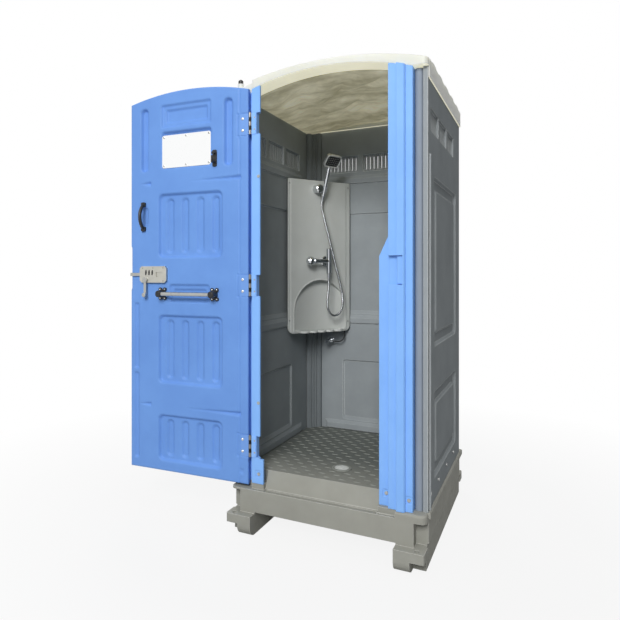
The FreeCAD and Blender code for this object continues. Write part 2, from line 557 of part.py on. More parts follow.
def make_wall(label, low_end, high_end, place, flange, vent_offset):
    """A wall in its own frame: X along it, Y from its outer face inwards, Z up from the rim.

    flange is -1 or 1 where the panel thins to a flange beside a front post, or 0.
    """
    thick = d.wall_out - d.wall_in
    tall = d.wall_top - d.pad_top
    rim = d.pad_top
    parts = [box(label + "_core", (low_end, high_end), (0, thick), (0, tall))]
    if flange:
        start = low_end if flange < 0 else high_end
        span = sorted((d.wall_front * flange, start), key=float)
        parts.append(box(label + "_flange", span, (0, d.wall_out - d.flange_in), (0, tall)))
        parts.append(rod(label + "_bead", d.bead_radius, "z", (d.bead_along * flange, 0, 0),
                         d.bead_top - rim))
    middle = d.ridge_shift * flange
    along = (middle - d.ridge_half, middle + d.ridge_half)
    levels = ((d.plinth_low, d.plinth_high), (d.ridge_low, d.ridge_high), (d.brow_low, d.brow_high))
    for i, (low, high) in enumerate(levels):
        ridge = drafted(f"{label}_ridge_{i}", along, (-THROUGH, d.ridge_proud), (low - rim, high - rim),
                        d.ridge_slope, d.ridge_foot)
        bind(ridge, "Placement.Base.y", thick)
        parts.append(ridge)

    def corner(edge):
        return not runs_along("x")(edge) and not runs_along("z")(edge)
    tools = []
    middle = d.niche_shift * flange
    along = (middle - d.niche_half, middle + d.niche_half)
    for i, (low, high) in enumerate(((d.niche_low, d.niche_low_top), (d.niche_high, d.niche_high_top))):
        niche = drafted(f"{label}_niche_{i}", along, (-d.niche_deep, THROUGH), (low - rim, high - rim),
                        -d.niche_side, -d.niche_foot)
        bind(niche, "Placement.Base.y", thick)
        tools.append(soften(f"{label}_niche_round_{i}", niche, d.niche_corner, corner))
    along = (-d.moat_half, d.moat_half)
    inset = d.moat_wide
    for i, (low, high) in enumerate(((d.moat_low, d.moat_split_low), (d.moat_split_high, d.moat_high))):
        sunk = drafted(f"{label}_outside_{i}", along, (-THROUGH, d.moat_deep), (low - rim, high - rim),
                       d.moat_slope)
        pillow = drafted(f"{label}_pillow_{i}", (along[0] + inset, along[1] - inset),
                         (d.pillow_sunk, d.moat_deep + THROUGH), (low + inset - rim, high - inset - rim),
                         -d.moat_slope)
        sunk = soften(f"{label}_outside_round_{i}", sunk, d.moat_corner, corner)
        pillow = soften(f"{label}_pillow_round_{i}", pillow, d.pillow_corner, corner)
        tools.append(cut(f"{label}_moat_{i}", sunk, pillow))
    band = (d.vent_low - rim, d.vent_high - rim)
    slot_band = (d.vent_low - rim + d.vent_edge, d.vent_high - rim - d.vent_edge)
    count = DIMENSIONS["vent_slots"]
    step = (d.vent_wide - 2 * d.vent_edge - d.vent_slot) / (count - 1)
    for i in (-1, 0, 1):
        left = vent_offset + i * d.vent_pitch - d.vent_wide / 2
        span = (left, left + d.vent_wide)
        tools.append(box(f"{label}_vent_out_{i + 1}", span, (-THROUGH, d.vent_sunk), band))
        tools.append(box(f"{label}_vent_in_{i + 1}", span, (thick - d.vent_sunk, thick + THROUGH), band))
        for j in range(count):
            edge = left + d.vent_edge + j * step
            tools.append(box(f"{label}_slot_{i + 1}_{j}", (edge, edge + d.vent_slot),
                             (-THROUGH, thick + THROUGH), slot_band))
    wall = cut(label + "_cut", fuse(label + "_blank", *parts), *tools)
    turn, x, y = place
    wall.Placement = Placement(Vector(), Rotation(Vector(0, 0, 1), turn))
    put(wall, x, y, rim)
    node(label, wall)


def make_walls():
    make_wall("wall_right", -d.wall_shoulder, d.wall_end, (90, d.wall_out, 0), -1, -d.vent_shift_side)
    make_wall("wall_left", -d.wall_end, d.wall_shoulder, (-90, -d.wall_out, 0), 1, d.vent_shift_side)
    half = d.wall_in - WALL_JOINT
    make_wall("wall_back", -half, half, (180, 0, d.wall_end), 0, -d.vent_shift_back)


def make_posts():
    for side, sign in (("left", -1), ("right", 1)):
        across = sorted((sign * d.post_in, sign * d.post_out), key=float)
        block = box(f"post_front_{side}_block", across, (-d.wall_front, -d.post_back),
                    (d.pad_top, d.post_top))

        def front_corner(edge):
            return runs_along("z")(edge) and edge.CenterOfMass.y < -float(d.post_back) - 1
        node(f"post_front_{side}", soften(f"post_front_{side}", block, d.post_round, front_corner))
    for side, sign in (("left", -1), ("right", 1)):
        corner_x = d.deck_half * sign
        leg = d.column_leg
        foot = d.column_foot
        ridge = d.column_ridge
        run = leg - foot

        def place(u, v):
            """From the corner: u along the side wall, v along the back wall."""
            return (corner_x - sign * v, d.deck_back - u)
        outline = [(0, 0), (leg, 0), (leg, foot)]
        for part in (0.3, 0.5, 0.7):
            middle_u = leg - run * part
            middle_v = foot + run * part
            outline += [(middle_u + ridge, middle_v - ridge),
                        (middle_u - ridge / 2, middle_v - ridge * 1.5),
                        (middle_u - ridge * 1.5, middle_v - ridge / 2), (middle_u - ridge,
                                                                         middle_v + ridge)]
        outline += [(foot, leg), (0, leg)]
        corners = [place(as_size(u), as_size(v)) for u, v in outline]
        node(f"post_back_{side}", padded(f"post_back_{side}_body", corners, d.floor_top, d.post_top))


# Door frame

HINGES = {"low": d.hinge_low, "mid": d.hinge_mid, "high": d.hinge_high}


def bolt_pad(name, x, y, z):
    """A square sinking around a bolt in a face that looks forwards."""
    half = d.pad_side / 2
    return box(name, (x - half, x + half), (y - THROUGH, y + d.pad_deep), (z - half, z + half))


def arch_wire(half, low, crown, y):
    ends = Vector(-half, y, low), Vector(half, y, low)
    rise = Part.Arc(ends[0], Vector(0, y, crown), ends[1]).toShape()
    return Part.Wire([rise, Part.LineSegment(ends[1], ends[0]).toShape()])


def vault(half, low, front_crown, back_crown, front, back):
    sections = [arch_wire(half, low, front_crown, front), arch_wire(half, low, back_crown, back)]
    return Part.makeLoft(sections, True, True)


def above_header(name):
    """A tool that trims a jamb's top to the arch of the roof's header, with a small gap."""
    half = float(d.header_half)
    low = float(d.header_low - d.header_gap)
    crown = float(d.header_crown - d.header_gap)
    front = -float(d.bead_face) - THROUGH
    back = -float(d.jamb_back) + THROUGH
    block = Part.makeBox(2 * half, back - front, crown - low, Vector(-half, front, low))
    tool = doc.addObject("Part::Feature", name)
    tool.Shape = block.cut(vault(half, low, crown, crown, front, back))
    return tool


def make_jambs():
    edge_back = -d.jamb_face + d.hinge_edge_thick
    plan = [(-d.hinge_jamb_in, -d.jamb_face), (-d.hinge_jamb_in, edge_back),
            (-d.hinge_slope_out, -d.jamb_back),
            (-d.hinge_jamb_out, -d.jamb_back), (-d.hinge_jamb_out, -d.jamb_step),
            (-d.hinge_jamb_edge, -d.jamb_step), (-d.hinge_jamb_edge, -d.jamb_face)]
    stile = padded("hinge_stile", plan, d.pad_top, d.jamb_top)
    foot = box("hinge_stile_foot", (-d.hinge_jamb_in, -d.hinge_foot_in), (-d.jamb_face, edge_back),
               (d.pad_top, d.hinge_foot_top))
    notches = [box(f"hinge_notch_{name}", (-d.hinge_jamb_in - d.hinge_notch, -d.hinge_jamb_in + THROUGH),
                   (-d.jamb_face - THROUGH, -d.jamb_step), (high - d.hinge_tall / 2,
                                                            high + d.hinge_tall / 2))
               for name, high in HINGES.items()]
    notches.append(bolt_pad("hinge_foot_pad", -d.hinge_jamb_in - d.foot_bolt_in, -d.jamb_face,
                            d.foot_bolt_high))
    node("jamb_left", cut("jamb_left_cut", fuse("jamb_left_blank", stile, foot), *notches,
                          above_header("jamb_left_trim")))

    plan = [(d.strike_in, -d.jamb_face), (d.strike_bead_in, -d.jamb_face),
            (d.strike_bead_in, -d.bead_face),
            (d.strike_bead_out - d.bead_soft, -d.bead_face), (d.strike_bead_out,
                                                              -d.bead_face + d.bead_soft),
            (d.strike_bead_out, -d.jamb_face), (d.strike_out, -d.jamb_face),
            (d.strike_out, -d.jamb_back), (d.strike_in, -d.jamb_back)]
    stile = padded("strike_stile", plan, d.pad_top, d.jamb_top)
    side = [(d.strike_in, d.pad_top), (d.strike_in, d.stop_slope_high),
            (d.strike_low_in, d.stop_slope_low),
            (d.strike_low_in, d.pad_top)]
    body, sketch = body_with_outline("stop_flange", "XZ_Plane", side)
    pad = body.newObject("PartDesign::Pad", "stop_flange_pad")
    pad.Profile = sketch
    bind(pad, "Length", d.stop_face - d.jamb_back)
    bind(body, "Placement.Base.y", -d.jamb_back)
    pocket = box("strike_pocket", (d.strike_in - THROUGH, d.strike_pocket_out),
                 (-d.bead_face - THROUGH, -d.strike_pocket_back), (d.strike_low, d.strike_high))
    pads = [bolt_pad("stop_pad", d.strike_low_in + d.stop_bolt_in, -d.stop_face, d.stop_bolt_high),
            bolt_pad("strike_pad_outer", d.strike_bead_out + d.strike_bolt_out, -d.jamb_face,
                     d.strike_bolt_high)]
    node("jamb_right", cut("jamb_right_cut", fuse("jamb_right_blank", stile, body), pocket, *pads,
                           above_header("jamb_right_trim")))

    thick = d.strike_plate_thick
    tall = (d.strike_low + d.strike_plate_play, d.strike_high - d.strike_plate_play)
    lip = box("strike_lip", (d.strike_lip_in, d.strike_pocket_out),
              (-d.strike_lip_face, -d.strike_lip_face + thick), tall)
    web = box("strike_web", (d.strike_pocket_out - thick, d.strike_pocket_out),
              (-d.strike_lip_face, -d.strike_pocket_back), tall)
    node("strike_plate", fuse("strike_plate_fuse", lip, web))


# Roof: a vault that flattens towards the back, with a deep front header, side skirts and ribs on top

def rib_wire(half, root, low, crown, y):
    """The outline of a roof rib: upright ends and an arch between them."""
    ends = [Vector(-half, y, root), Vector(-half, y, low), Vector(half, y, low), Vector(half, y, root)]
    arch = Part.Arc(ends[1], Vector(0, y, crown), ends[2]).toShape()
    return Part.Wire([Part.LineSegment(ends[0], ends[1]).toShape(), arch,
                      Part.LineSegment(ends[2], ends[3]).toShape(),
                      Part.LineSegment(ends[3], ends[0]).toShape()])


def make_roof():
    half = float(d.roof_half)
    side = float(d.roof_side)
    low = float(d.roof_low)
    front = -float(d.roof_front)
    back = float(d.roof_end)
    lip_front = -float(d.roof_lip)
    outer = vault(half, side, float(d.roof_crown), float(d.roof_back_crown), front, back)
    band = Part.makeBox(2 * half, back - front, side - low, Vector(-half, front, low))
    shell = outer.fuse(band)
    lip = Part.makeBox(half + float(d.roof_lip_left), front - lip_front, side - low,
                       Vector(-float(d.roof_lip_left), lip_front, low))
    brow = vault(half, side, float(d.roof_crown), float(d.roof_crown), lip_front, front)
    keep = Part.makeBox(half + float(d.roof_lip_left), front - lip_front, float(d.brow_tall),
                        Vector(-float(d.roof_lip_left), lip_front, low))
    shell = shell.fuse([lip, brow.common(keep)])
    slope = float(d.roof_back_crown - d.roof_crown) / (back - front)
    top = float(d.rib_top) / 2
    ramp = top + float(d.rib_ramp)
    rise = float(d.rib_rise)
    for i in range(DIMENSIONS["roof_ribs"]):
        middle = float(d.rib_start) + i * float(d.rib_step)
        wires = []
        for shift, lift in ((-ramp, 0), (-top, rise), (top, rise), (ramp, 0)):
            y = middle + shift
            crown = float(d.roof_crown) + slope * (y - front) + lift
            wires.append(rib_wire(half, side - float(d.rib_root), side + lift, crown, y))
        shell = shell.fuse(Part.makeLoft(wires, True, True))
    dome_front = front + float(d.header_deep)
    doorway = vault(float(d.header_half), float(d.header_low), float(d.header_crown),
                    float(d.header_crown), lip_front - THROUGH, dome_front + THROUGH)
    dome = vault(float(d.wall_in), float(d.ceiling_low), float(d.ceiling_front_crown),
                 float(d.ceiling_back_crown), dome_front, float(d.ceiling_back))
    room = Part.makeBox(2 * float(d.wall_in), float(d.ceiling_back) - dome_front,
                        float(d.ceiling_low) - low + THROUGH,
                        Vector(-float(d.wall_in), dome_front, low - THROUGH))
    shell = shell.cut(doorway.fuse([dome, room]))
    bend = float(d.roof_corner)
    block = Part.makeBox(bend + THROUGH, bend + THROUGH, float(d.brow_tall),
                         Vector(half - bend, lip_front - THROUGH, low - THROUGH))
    stem = Part.makeCylinder(bend, float(d.brow_tall), Vector(half - bend, lip_front + bend, low - THROUGH))
    shell = shell.cut(block.cut(stem))
    drop = float(d.skirt_drop)
    wall = float(d.wall_out) + WALL_JOINT
    thick = float(d.skirt_thick)
    for sign in (-1, 1):
        x = wall if sign > 0 else -wall - thick
        shell = shell.fuse(Part.makeBox(thick, back - front, side - drop, Vector(x, front, drop)))
    shell = shell.fuse(Part.makeBox(2 * (wall + thick), thick, side - drop,
                                    Vector(-wall - thick, back, drop)))
    pad = Part.makeCylinder(float(d.roof_cap_radius + d.roof_pad_margin), float(d.roof_pad_top) - low,
                            Vector(-float(d.roof_cap_x), -float(d.roof_cap_y), low))
    shell = shell.fuse(pad)
    roof = doc.addObject("Part::Feature", "roof_shell")
    roof.Shape = shell.removeSplitter()
    node("roof", roof)

    cap = rod("roof_cap_post", d.roof_cap_radius, "z", (-d.roof_cap_x, -d.roof_cap_y, d.roof_pad_top),
              d.roof_cap_tall)

    def top_rim(edge):
        return edge.Closed and edge.CenterOfMass.z > float(d.roof_pad_top) + 1
    node("roof_cap", soften("roof_cap_soft", cap, d.roof_cap_soft, top_rim, "Part::Chamfer"))


# Corner shower panel and its fittings, in the panel's own frame

def make_shower_panel():
    thick = d.panel_thick
    plate = box("panel_plate", (0, d.panel_length), (-thick, 0), (d.panel_foot, d.panel_head))
    plate = soften("panel_plate_round", plate, d.panel_round,
                   lambda e: runs_along("y")(e) and e.CenterOfMass.z < float(d.panel_foot) + 1)
    half = (d.scoop_right - d.scoop_left) / 2
    middle = (d.scoop_right + d.scoop_left) / 2
    spring = d.scoop_top - half

    def arch(name, grow, back):
        deep = as_size(back) + thick + THROUGH
        front = -thick - THROUGH
        run = box(name + "_run", (middle - half - grow, middle + half + grow), (front, as_size(back)),
                  (d.scoop_low - grow, spring))
        head = rod(name + "_head", half + grow, "y", (middle, front, spring), deep)
        return fuse(name, run, head)

    def bowl(name, grow):
        """A tall drum whose side cuts the plate to the scoop's depth."""
        chord = half.value
        deep = d.scoop_deep.value
        radius = (chord ** 2 + deep ** 2) / (2 * deep)
        centre = -thick + d.scoop_deep - radius
        return rod(name, radius + grow, "z", (middle, centre, d.scoop_low - SPARE),
                   d.scoop_top - d.scoop_low + 2 * SPARE)
    shell = common("scoop_shell", arch("scoop_arch_out", d.scoop_shell, d.scoop_tool_back),
                   bowl("bowl_out", d.scoop_shell))
    scoop = common("scoop", arch("scoop_arch_in", 0, d.scoop_tool_back), bowl("bowl_in", 0))
    lobes = []
    lobe = (d.shelf_right - d.shelf_left) / (2 * DIMENSIONS["shelf_lobes"])
    for i in range(DIMENSIONS["shelf_lobes"]):
        centre = d.shelf_left + lobe * (2 * i + 1)
        lobes.append(rod(f"shelf_lobe_{i}", lobe, "z", (centre, -thick - d.shelf_out + lobe, d.panel_foot),
                         d.shelf_thick))
    front_half = box("shelf_keep", (d.shelf_left - SPARE, d.shelf_right + SPARE),
                     (-thick - d.shelf_out - SPARE, -thick / 2),
                     (d.panel_foot - SPARE, d.panel_foot + d.shelf_thick + SPARE))
    shelf = common("shelf", fuse("shelf_lobes", *lobes), front_half)
    strips = [box("flange_strip_left", (-THROUGH, d.flange_left),
                  (-thick - THROUGH, -thick + d.flange_drop),
                  (d.panel_foot - THROUGH, d.panel_head + THROUGH)),
              box("flange_strip_right", (d.flange_right, d.panel_length + THROUGH),
                  (-thick - THROUGH, -thick + d.flange_drop), (d.panel_foot - THROUGH,
                                                               d.panel_head + THROUGH))]
    hole = rod("mixer_tail_hole", d.neck_radius + 1, "y", (d.mixer_along, -thick - THROUGH, d.mixer_high),
               thick + 2 * THROUGH)
    solid = fuse("panel_blank", plate, shell, shelf)
    on_panel("shower_panel", cut("panel_cut", solid, scoop, hole, *strips))

    front = -thick + d.flange_drop
    high = d.panel_head - d.screw_drop
    right = d.panel_length - d.screw_right
    spots = [(d.screw_left, high), (d.screw_left, d.panel_foot + d.screw_rise_left), (right, high),
             (right, d.panel_foot + d.screw_rise_right)]
    screws = [rod(f"panel_screw_{i}", d.screw_radius, "y", (along, front - d.screw_proud, high),
                  d.screw_proud)
              for i, (along, high) in enumerate(spots)]
    on_panel("panel_screws", group("panel_screw_group", *screws))


def make_mixer():
    face = -d.panel_thick
    flange = rod("mixer_flange_disc", d.mixer_flange_radius, "y",
                 (d.mixer_along, face - d.mixer_flange_thick, d.mixer_high), d.mixer_flange_thick)
    flange = soften("mixer_flange_soft", flange, d.mixer_soft,
                    lambda e: e.CenterOfMass.y < float(face - d.mixer_flange_thick) + 0.1 and e.Closed,
                    "Part::Chamfer")
    on_panel("mixer_flange", cut("mixer_flange_cut", flange,
                                 rod("flange_hole", d.neck_radius + d.tail_play, "y",
                                     (d.mixer_along, -d.mixer_out, d.mixer_high), d.mixer_out)))
    centre_y = -d.mixer_out
    column = rod("mixer_column", d.mixer_radius, "z", (d.mixer_along, centre_y, d.mixer_low),
                 d.mixer_up - d.mixer_low)
    column = soften("mixer_column_soft", column, d.mixer_soft, lambda e: e.Closed, "Part::Chamfer")
    outlet = rod("mixer_outlet", d.outlet_radius, "z",
                 (d.mixer_along, centre_y, d.mixer_low - d.outlet_drop),
                 d.outlet_drop + d.mixer_radius)
    tail = rod("mixer_tail", d.neck_radius, "y", (d.mixer_along, centre_y, d.mixer_high),
               d.mixer_out + d.tail_behind)
    arm = rod("mixer_neck", d.neck_radius, "x", (d.neck_end, centre_y, d.mixer_high),
               d.mixer_along - d.neck_end)
    inlet = rod("mixer_inlet", d.inlet_radius, "x", (d.mixer_along, d.inlet_behind, d.mixer_high),
                d.inlet_end - d.mixer_along)
    on_panel("mixer_body", fuse("mixer_body_fuse", column, outlet, tail, arm, inlet))
    far = d.knob_far - d.neck_end
    collar = d.neck_radius + d.knob_collar
    ball = d.knob_radius
    knob = [(-WALL_JOINT, 0), (-WALL_JOINT, collar), (far * 0.15, collar), (far * 0.19, d.neck_radius + 1),
            (far * 0.26, collar + 1), (far * 0.39, ball * 0.89), (far * 0.58, ball), (far * 0.77,
                                                                                      ball * 0.86),
            (far * 0.94, ball * 0.57), (far, 0)]
    body = revolved("mixer_knob_body", knob)
    neck = Placement(Vector(float(d.neck_end), float(centre_y), float(d.mixer_high)), Rotation())
    body.Placement = panel_frame().multiply(neck)
    node("mixer_knob", body)


def handle_on_panel():
    """The hand shower's frame within the panel's: Z along its handle, from the cradle's middle."""
    lean = Rotation(Vector(1, 0, 0), float(d.handle_lean))
    slant = Rotation(Vector(0, 1, 0), float(d.handle_slant))
    middle = Vector(float(d.cradle_along), -float(d.cradle_out), float(d.bracket_high))
    return Placement(middle, slant.multiply(lean))


def handle_frame():
    return panel_frame().multiply(handle_on_panel())


def make_hand_shower():
    face = -d.panel_thick
    drum = rod("bracket_drum", d.bracket_radius, "y",
               (d.bracket_along, face - d.bracket_long, d.bracket_high), d.bracket_long)
    drum = soften("bracket_soft", drum, d.bracket_soft,
                  lambda e: e.Closed and e.CenterOfMass.y < float(face - d.bracket_long) + 0.1,
                  "Part::Chamfer")
    pivot = (d.cradle_along - d.pivot_reach, -d.cradle_out, d.bracket_high)
    side = box("bracket_side",
               (d.cradle_along - d.cradle_radius - d.cradle_gap, d.bracket_along + 2 * d.bracket_radius),
               (face - 2 * d.bracket_long, 0),
               (d.bracket_high - 2 * d.bracket_radius, d.bracket_high + 2 * d.bracket_radius))
    socket = rod("bracket_socket", d.pivot_radius + d.pin_play, "x", pivot, d.pivot_reach)
    on_panel("handset_bracket", cut("bracket_cut", drum, side, socket))

    loose = float(d.handle_low + d.cradle_play)
    tall = float(d.cradle_high)
    mouth = float(d.cradle_mouth)
    bore = Part.makeCone(loose, loose + float(d.handle_taper), 4 * tall, Vector(0, 0, -2 * tall))
    gap = Part.makeBox(mouth, 2 * tall, 4 * tall, Vector(-mouth / 2, -2 * tall, -2 * tall))
    ring = Part.makeCylinder(float(d.cradle_radius), tall, Vector(0, 0, -tall / 2))
    hollow = bore.fuse(gap)
    for piece in (ring, hollow):
        piece.Placement = handle_on_panel()
    start = Vector(*[float(size) for size in pivot]) + Vector(WALL_JOINT, 0, 0)
    stub = Part.makeCylinder(float(d.pivot_radius), float(d.pivot_reach - d.cradle_radius + d.cradle_gap),
                             start, Vector(1, 0, 0))
    cradle = doc.addObject("Part::Feature", "cradle_ring")
    cradle.Shape = ring.fuse(stub).cut(hollow).removeSplitter()
    on_panel("handset_cradle", cradle)

    below = float(d.handle_below)
    above = float(d.handle_above)
    low = float(d.handle_low)
    top = float(d.handle_top)
    run = float(d.grip_run)
    waist = low + float(d.handle_taper)
    grip = Part.makeCone(low, waist, below + run, Vector(0, 0, -below))
    stem = Part.makeCone(waist, top, above - run, Vector(0, 0, run))
    wide = float(d.head_wide)
    tall = float(d.head_tall)
    slab = Part.makeBox(wide, float(d.head_thick), tall, Vector(-wide / 2, -float(d.head_thick) / 2, 0))
    upright = [e for e in slab.Edges if runs_along("y")(e)]
    slab = slab.makeFillet(float(d.head_round), upright)
    slab.Placement = Placement(Vector(0, -float(d.head_set_back), above - float(d.head_overlap)),
                               Rotation(Vector(1, 0, 0), float(d.head_tilt)))
    margin = float(d.spray_margin)
    sink = Part.makeBox(wide - 2 * margin, float(d.spray_thick), tall - 2 * margin,
                        Vector(margin - wide / 2, -float(d.head_thick) / 2, margin))
    sink = sink.makeFillet(float(d.spray_round), [e for e in sink.Edges if runs_along("y")(e)])
    sink.Placement = slab.Placement
    shower = doc.addObject("Part::Feature", "hand_shower_body")
    shower.Shape = grip.fuse([stem, slab]).cut(sink).removeSplitter()
    shower.Placement = handle_frame()
    node("hand_shower", shower)
    spray = doc.addObject("Part::Feature", "spray_disc")
    spray.Shape = sink.copy()
    spray.Placement = handle_frame().multiply(sink.Placement)
    node("spray_plate", spray)


# Free hang of the shower hose, from the handle down past the mixer, round its loop and up to the outlet
HOSE_ROUTE = [(234, 31, 1692), (250, 36, 1614), (290, 45, 1478), (340, 50, 1310), (370, 53, 1205),
              (378, 54, 1138), (368, 55, 1088), (342, 56, 1058), (305, 56, 1050), (274, 56, 1068),
              (256, 56, 1104), (255, 56, 1150), (267, 56, 1222)]


def make_shower_hose():
    handle = handle_frame()
    nut_long = float(d.nut_long)
    end = handle.multVec(Vector(0, 0, -float(d.handle_below)))
    down = handle.Rotation.multVec(Vector(0, 0, -1))
    top = end + down * nut_long
    outlet = panel_point(float(d.mixer_along), float(d.mixer_out),
                         float(d.mixer_low) - float(d.outlet_drop))
    bottom = outlet - Vector(0, 0, nut_long)
    points = [top,
              top + down * float(d.hose_run)] + [panel_point(*place) for place in HOSE_ROUTE] + [bottom]
    hose = doc.addObject("Part::Feature", "shower_hose_tube")
    hose.Shape = tube(points, d.hose_radius)
    node("shower_hose", hose)
    for label, place, towards in (("hose_nut_handset", end, down),
                                  ("hose_nut_mixer", bottom, Vector(0, 0, 1))):
        nut = doc.addObject("Part::Feature", label + "_cone")
        small = float(d.hose_radius + d.nut_lip)
        if label == "hose_nut_handset":
            nut.Shape = Part.makeCone(float(d.nut_radius), small, nut_long, place, towards)
        else:
            nut.Shape = Part.makeCone(small, float(d.nut_radius), nut_long, place, towards)
        node(label, nut)


def make_valve():
    x = d.valve_x
    z = d.valve_z
    front = d.valve_front
    wall = d.back_in - d.valve_plate - d.valve_plate_gap
    flange = rod("valve_wall_flange", d.valve_flange, "y", (x, wall, z), d.valve_plate)
    barrel = rod("valve_barrel", d.valve_radius, "y", (x, front, z), wall - front)
    outlet = rod("valve_outlet", d.valve_outlet_radius, "x", (x, front + d.valve_outlet_back, z),
                 d.valve_outlet_long)
    node("angle_valve", fuse("valve_fuse", flange, barrel, outlet))
    thick = d.valve_wheel_thick
    back = front - d.valve_plate_gap - d.valve_stem_long
    stem = rod("valve_stem", d.valve_stem, "y", (x, back, z), d.valve_stem_long)
    wheel = rod("valve_wheel_disc", d.valve_wheel, "y", (x, back - thick, z), thick)
    scallops = []
    count = DIMENSIONS["valve_scallops"]
    for i in range(count):
        turn = 2 * math.pi * i / count
        place = (x + d.valve_wheel * math.cos(turn), back - 2 * thick, z + d.valve_wheel * math.sin(turn))
        scallops.append(rod(f"valve_scallop_{i}", d.valve_scallop, "y", place, 3 * thick))
    node("valve_handle", fuse("valve_handle_fuse", stem, cut("valve_wheel_cut", wheel, *scallops)))


# Supply hose, from the valve's outlet round and up behind the panel to the inlet on the mixer's tail
SUPPLY_ROUTE = [(-273, 398, 878), (-252, 398, 878), (-232, 400, 876), (-212, 405, 885), (-200, 412, 908),
                (-201, 419, 946), (-214, 429, 1016), (-233, 429, 1110), (-252, 415, 1214), (-272, 386,
                                                                                            1300),
                (-276, 364, 1346), (-271, 343, 1380)]


def make_supply_hose():
    ends = [panel_point(float(d.inlet_end) + run, -float(d.inlet_behind),
                        float(d.mixer_high)) for run in (float(d.inlet_run), 0)]
    hose = doc.addObject("Part::Feature", "supply_hose_tube")
    hose.Shape = tube([Vector(*place) for place in SUPPLY_ROUTE] + ends, d.supply_radius)
    node("supply_hose", hose)


# Hinges: three-knuckle leaves on the jamb, two-knuckle leaves on the door, and a pin through all five

def knuckles(name, x, y, high, turns):
    share = d.hinge_tall / 5
    low = high - d.hinge_tall / 2
    return [rod(f"{name}_knuckle_{i}", d.knuckle_radius, "z",
                (x, y, low + i * share.value + d.knuckle_gap / 2),
                share - d.knuckle_gap) for i in turns]


def make_hinges():
    half = d.hinge_tall / 2
    share = d.hinge_tall.value / 5
    bore = d.pin_radius + d.pin_play
    clear = d.knuckle_radius + d.knuckle_clear
    jamb_screws = []
    door_screws = []
    for name, high in HINGES.items():
        span = (high - half, high + half)
        shares = [(span[0] + i * share, span[0] + (i + 1) * share) for i in range(5)]
        leaf = box(f"jamb_leaf_{name}", (d.pin_x + d.leaf_start, d.pin_x + d.leaf_wide),
                   (-d.jamb_face - d.leaf_thick, -d.jamb_face), span)
        gaps = [box(f"jamb_leaf_gap_{name}_{i}", (d.pin_x - SPARE, d.pin_x + clear),
                    (d.pin_y - SPARE, d.pin_y + SPARE), shares[i]) for i in (1, 3)]
        hole = rod(f"jamb_bore_{name}", bore, "z", (d.pin_x, d.pin_y, span[0] - THROUGH),
                   d.hinge_tall + 2 * THROUGH)
        barrels = knuckles(f"jamb_{name}", d.pin_x, d.pin_y, high, (0, 2, 4))
        blank = fuse(f"jamb_leaf_fuse_{name}", leaf, *barrels)
        node(f"hinge_{name}_jamb_leaf", cut(f"hinge_jamb_cut_{name}", blank, hole, *gaps))

        leaf = box(f"door_leaf_{name}", (d.leaf_start, d.door_leaf_wide), (-d.leaf_thick - SUNK, -SUNK),
                   span)
        gaps = [box(f"door_leaf_gap_{name}_{i}", (-SPARE, clear), (-SPARE, SPARE), shares[i])
                for i in (0, 2, 4)]
        hole = rod(f"door_bore_{name}", bore, "z", (0, 0, span[0] - THROUGH), d.hinge_tall + 2 * THROUGH)
        blank = fuse(f"door_leaf_fuse_{name}", leaf, *knuckles(f"door_{name}", 0, 0, high, (1, 3)))
        on_door(f"hinge_{name}_door_leaf", cut(f"hinge_door_cut_{name}", blank, hole, *gaps))

        pin = rod(f"pin_shank_{name}", d.pin_radius, "z", (d.pin_x, d.pin_y, span[0]), d.hinge_tall)
        head = rod(f"pin_head_{name}", d.pin_head, "z", (d.pin_x, d.pin_y, span[1]), d.pin_head_tall)
        node(f"hinge_{name}_pin", fuse(f"hinge_pin_fuse_{name}", pin, head))
        for i, level in enumerate((high - d.leaf_screw_rise, high + d.leaf_screw_rise)):
            place = (d.pin_x + d.jamb_screw_along, -d.jamb_face - d.leaf_thick - SUNK, level)
            jamb_screws.append(rod(f"jamb_screw_{name}_{i}", d.leaf_screw_radius, "y", place, SUNK))
            place = (d.door_screw_along, -SUNK, level)
            door_screws.append(rod(f"door_screw_{name}_{i}", d.door_screw_radius, "y", place,
                                   d.flush_proud))
    node("hinge_jamb_screws", group("hinge_jamb_screw_group", *jamb_screws))
    on_door("hinge_door_screws", group("hinge_door_screw_group", *door_screws))


# Door panel, in the closed door's frame: X from the pins, Y = 0 on its inner face, outer face at -thick

def ribbed_field(name, low, high):
    """A sunken field with four upright ribs standing in it."""
    field = soft_box(name, (d.field_near, d.field_far), (-d.field_deep, THROUGH), (low, high),
                     d.field_round, "y")
    ribs = []
    for i in range(DIMENSIONS["ribs"]):
        middle = d.rib_first + i * d.rib_pitch.value
        ribs.append(obround(f"{name}_rib_{i}", (middle - d.rib_wide / 2, middle + d.rib_wide / 2),
                            (-d.field_deep - THROUGH, -d.rib_sunk), (low + d.rib_margin,
                                                                     high - d.rib_margin)))
    return cut(name + "_ribbed", field, *ribs)


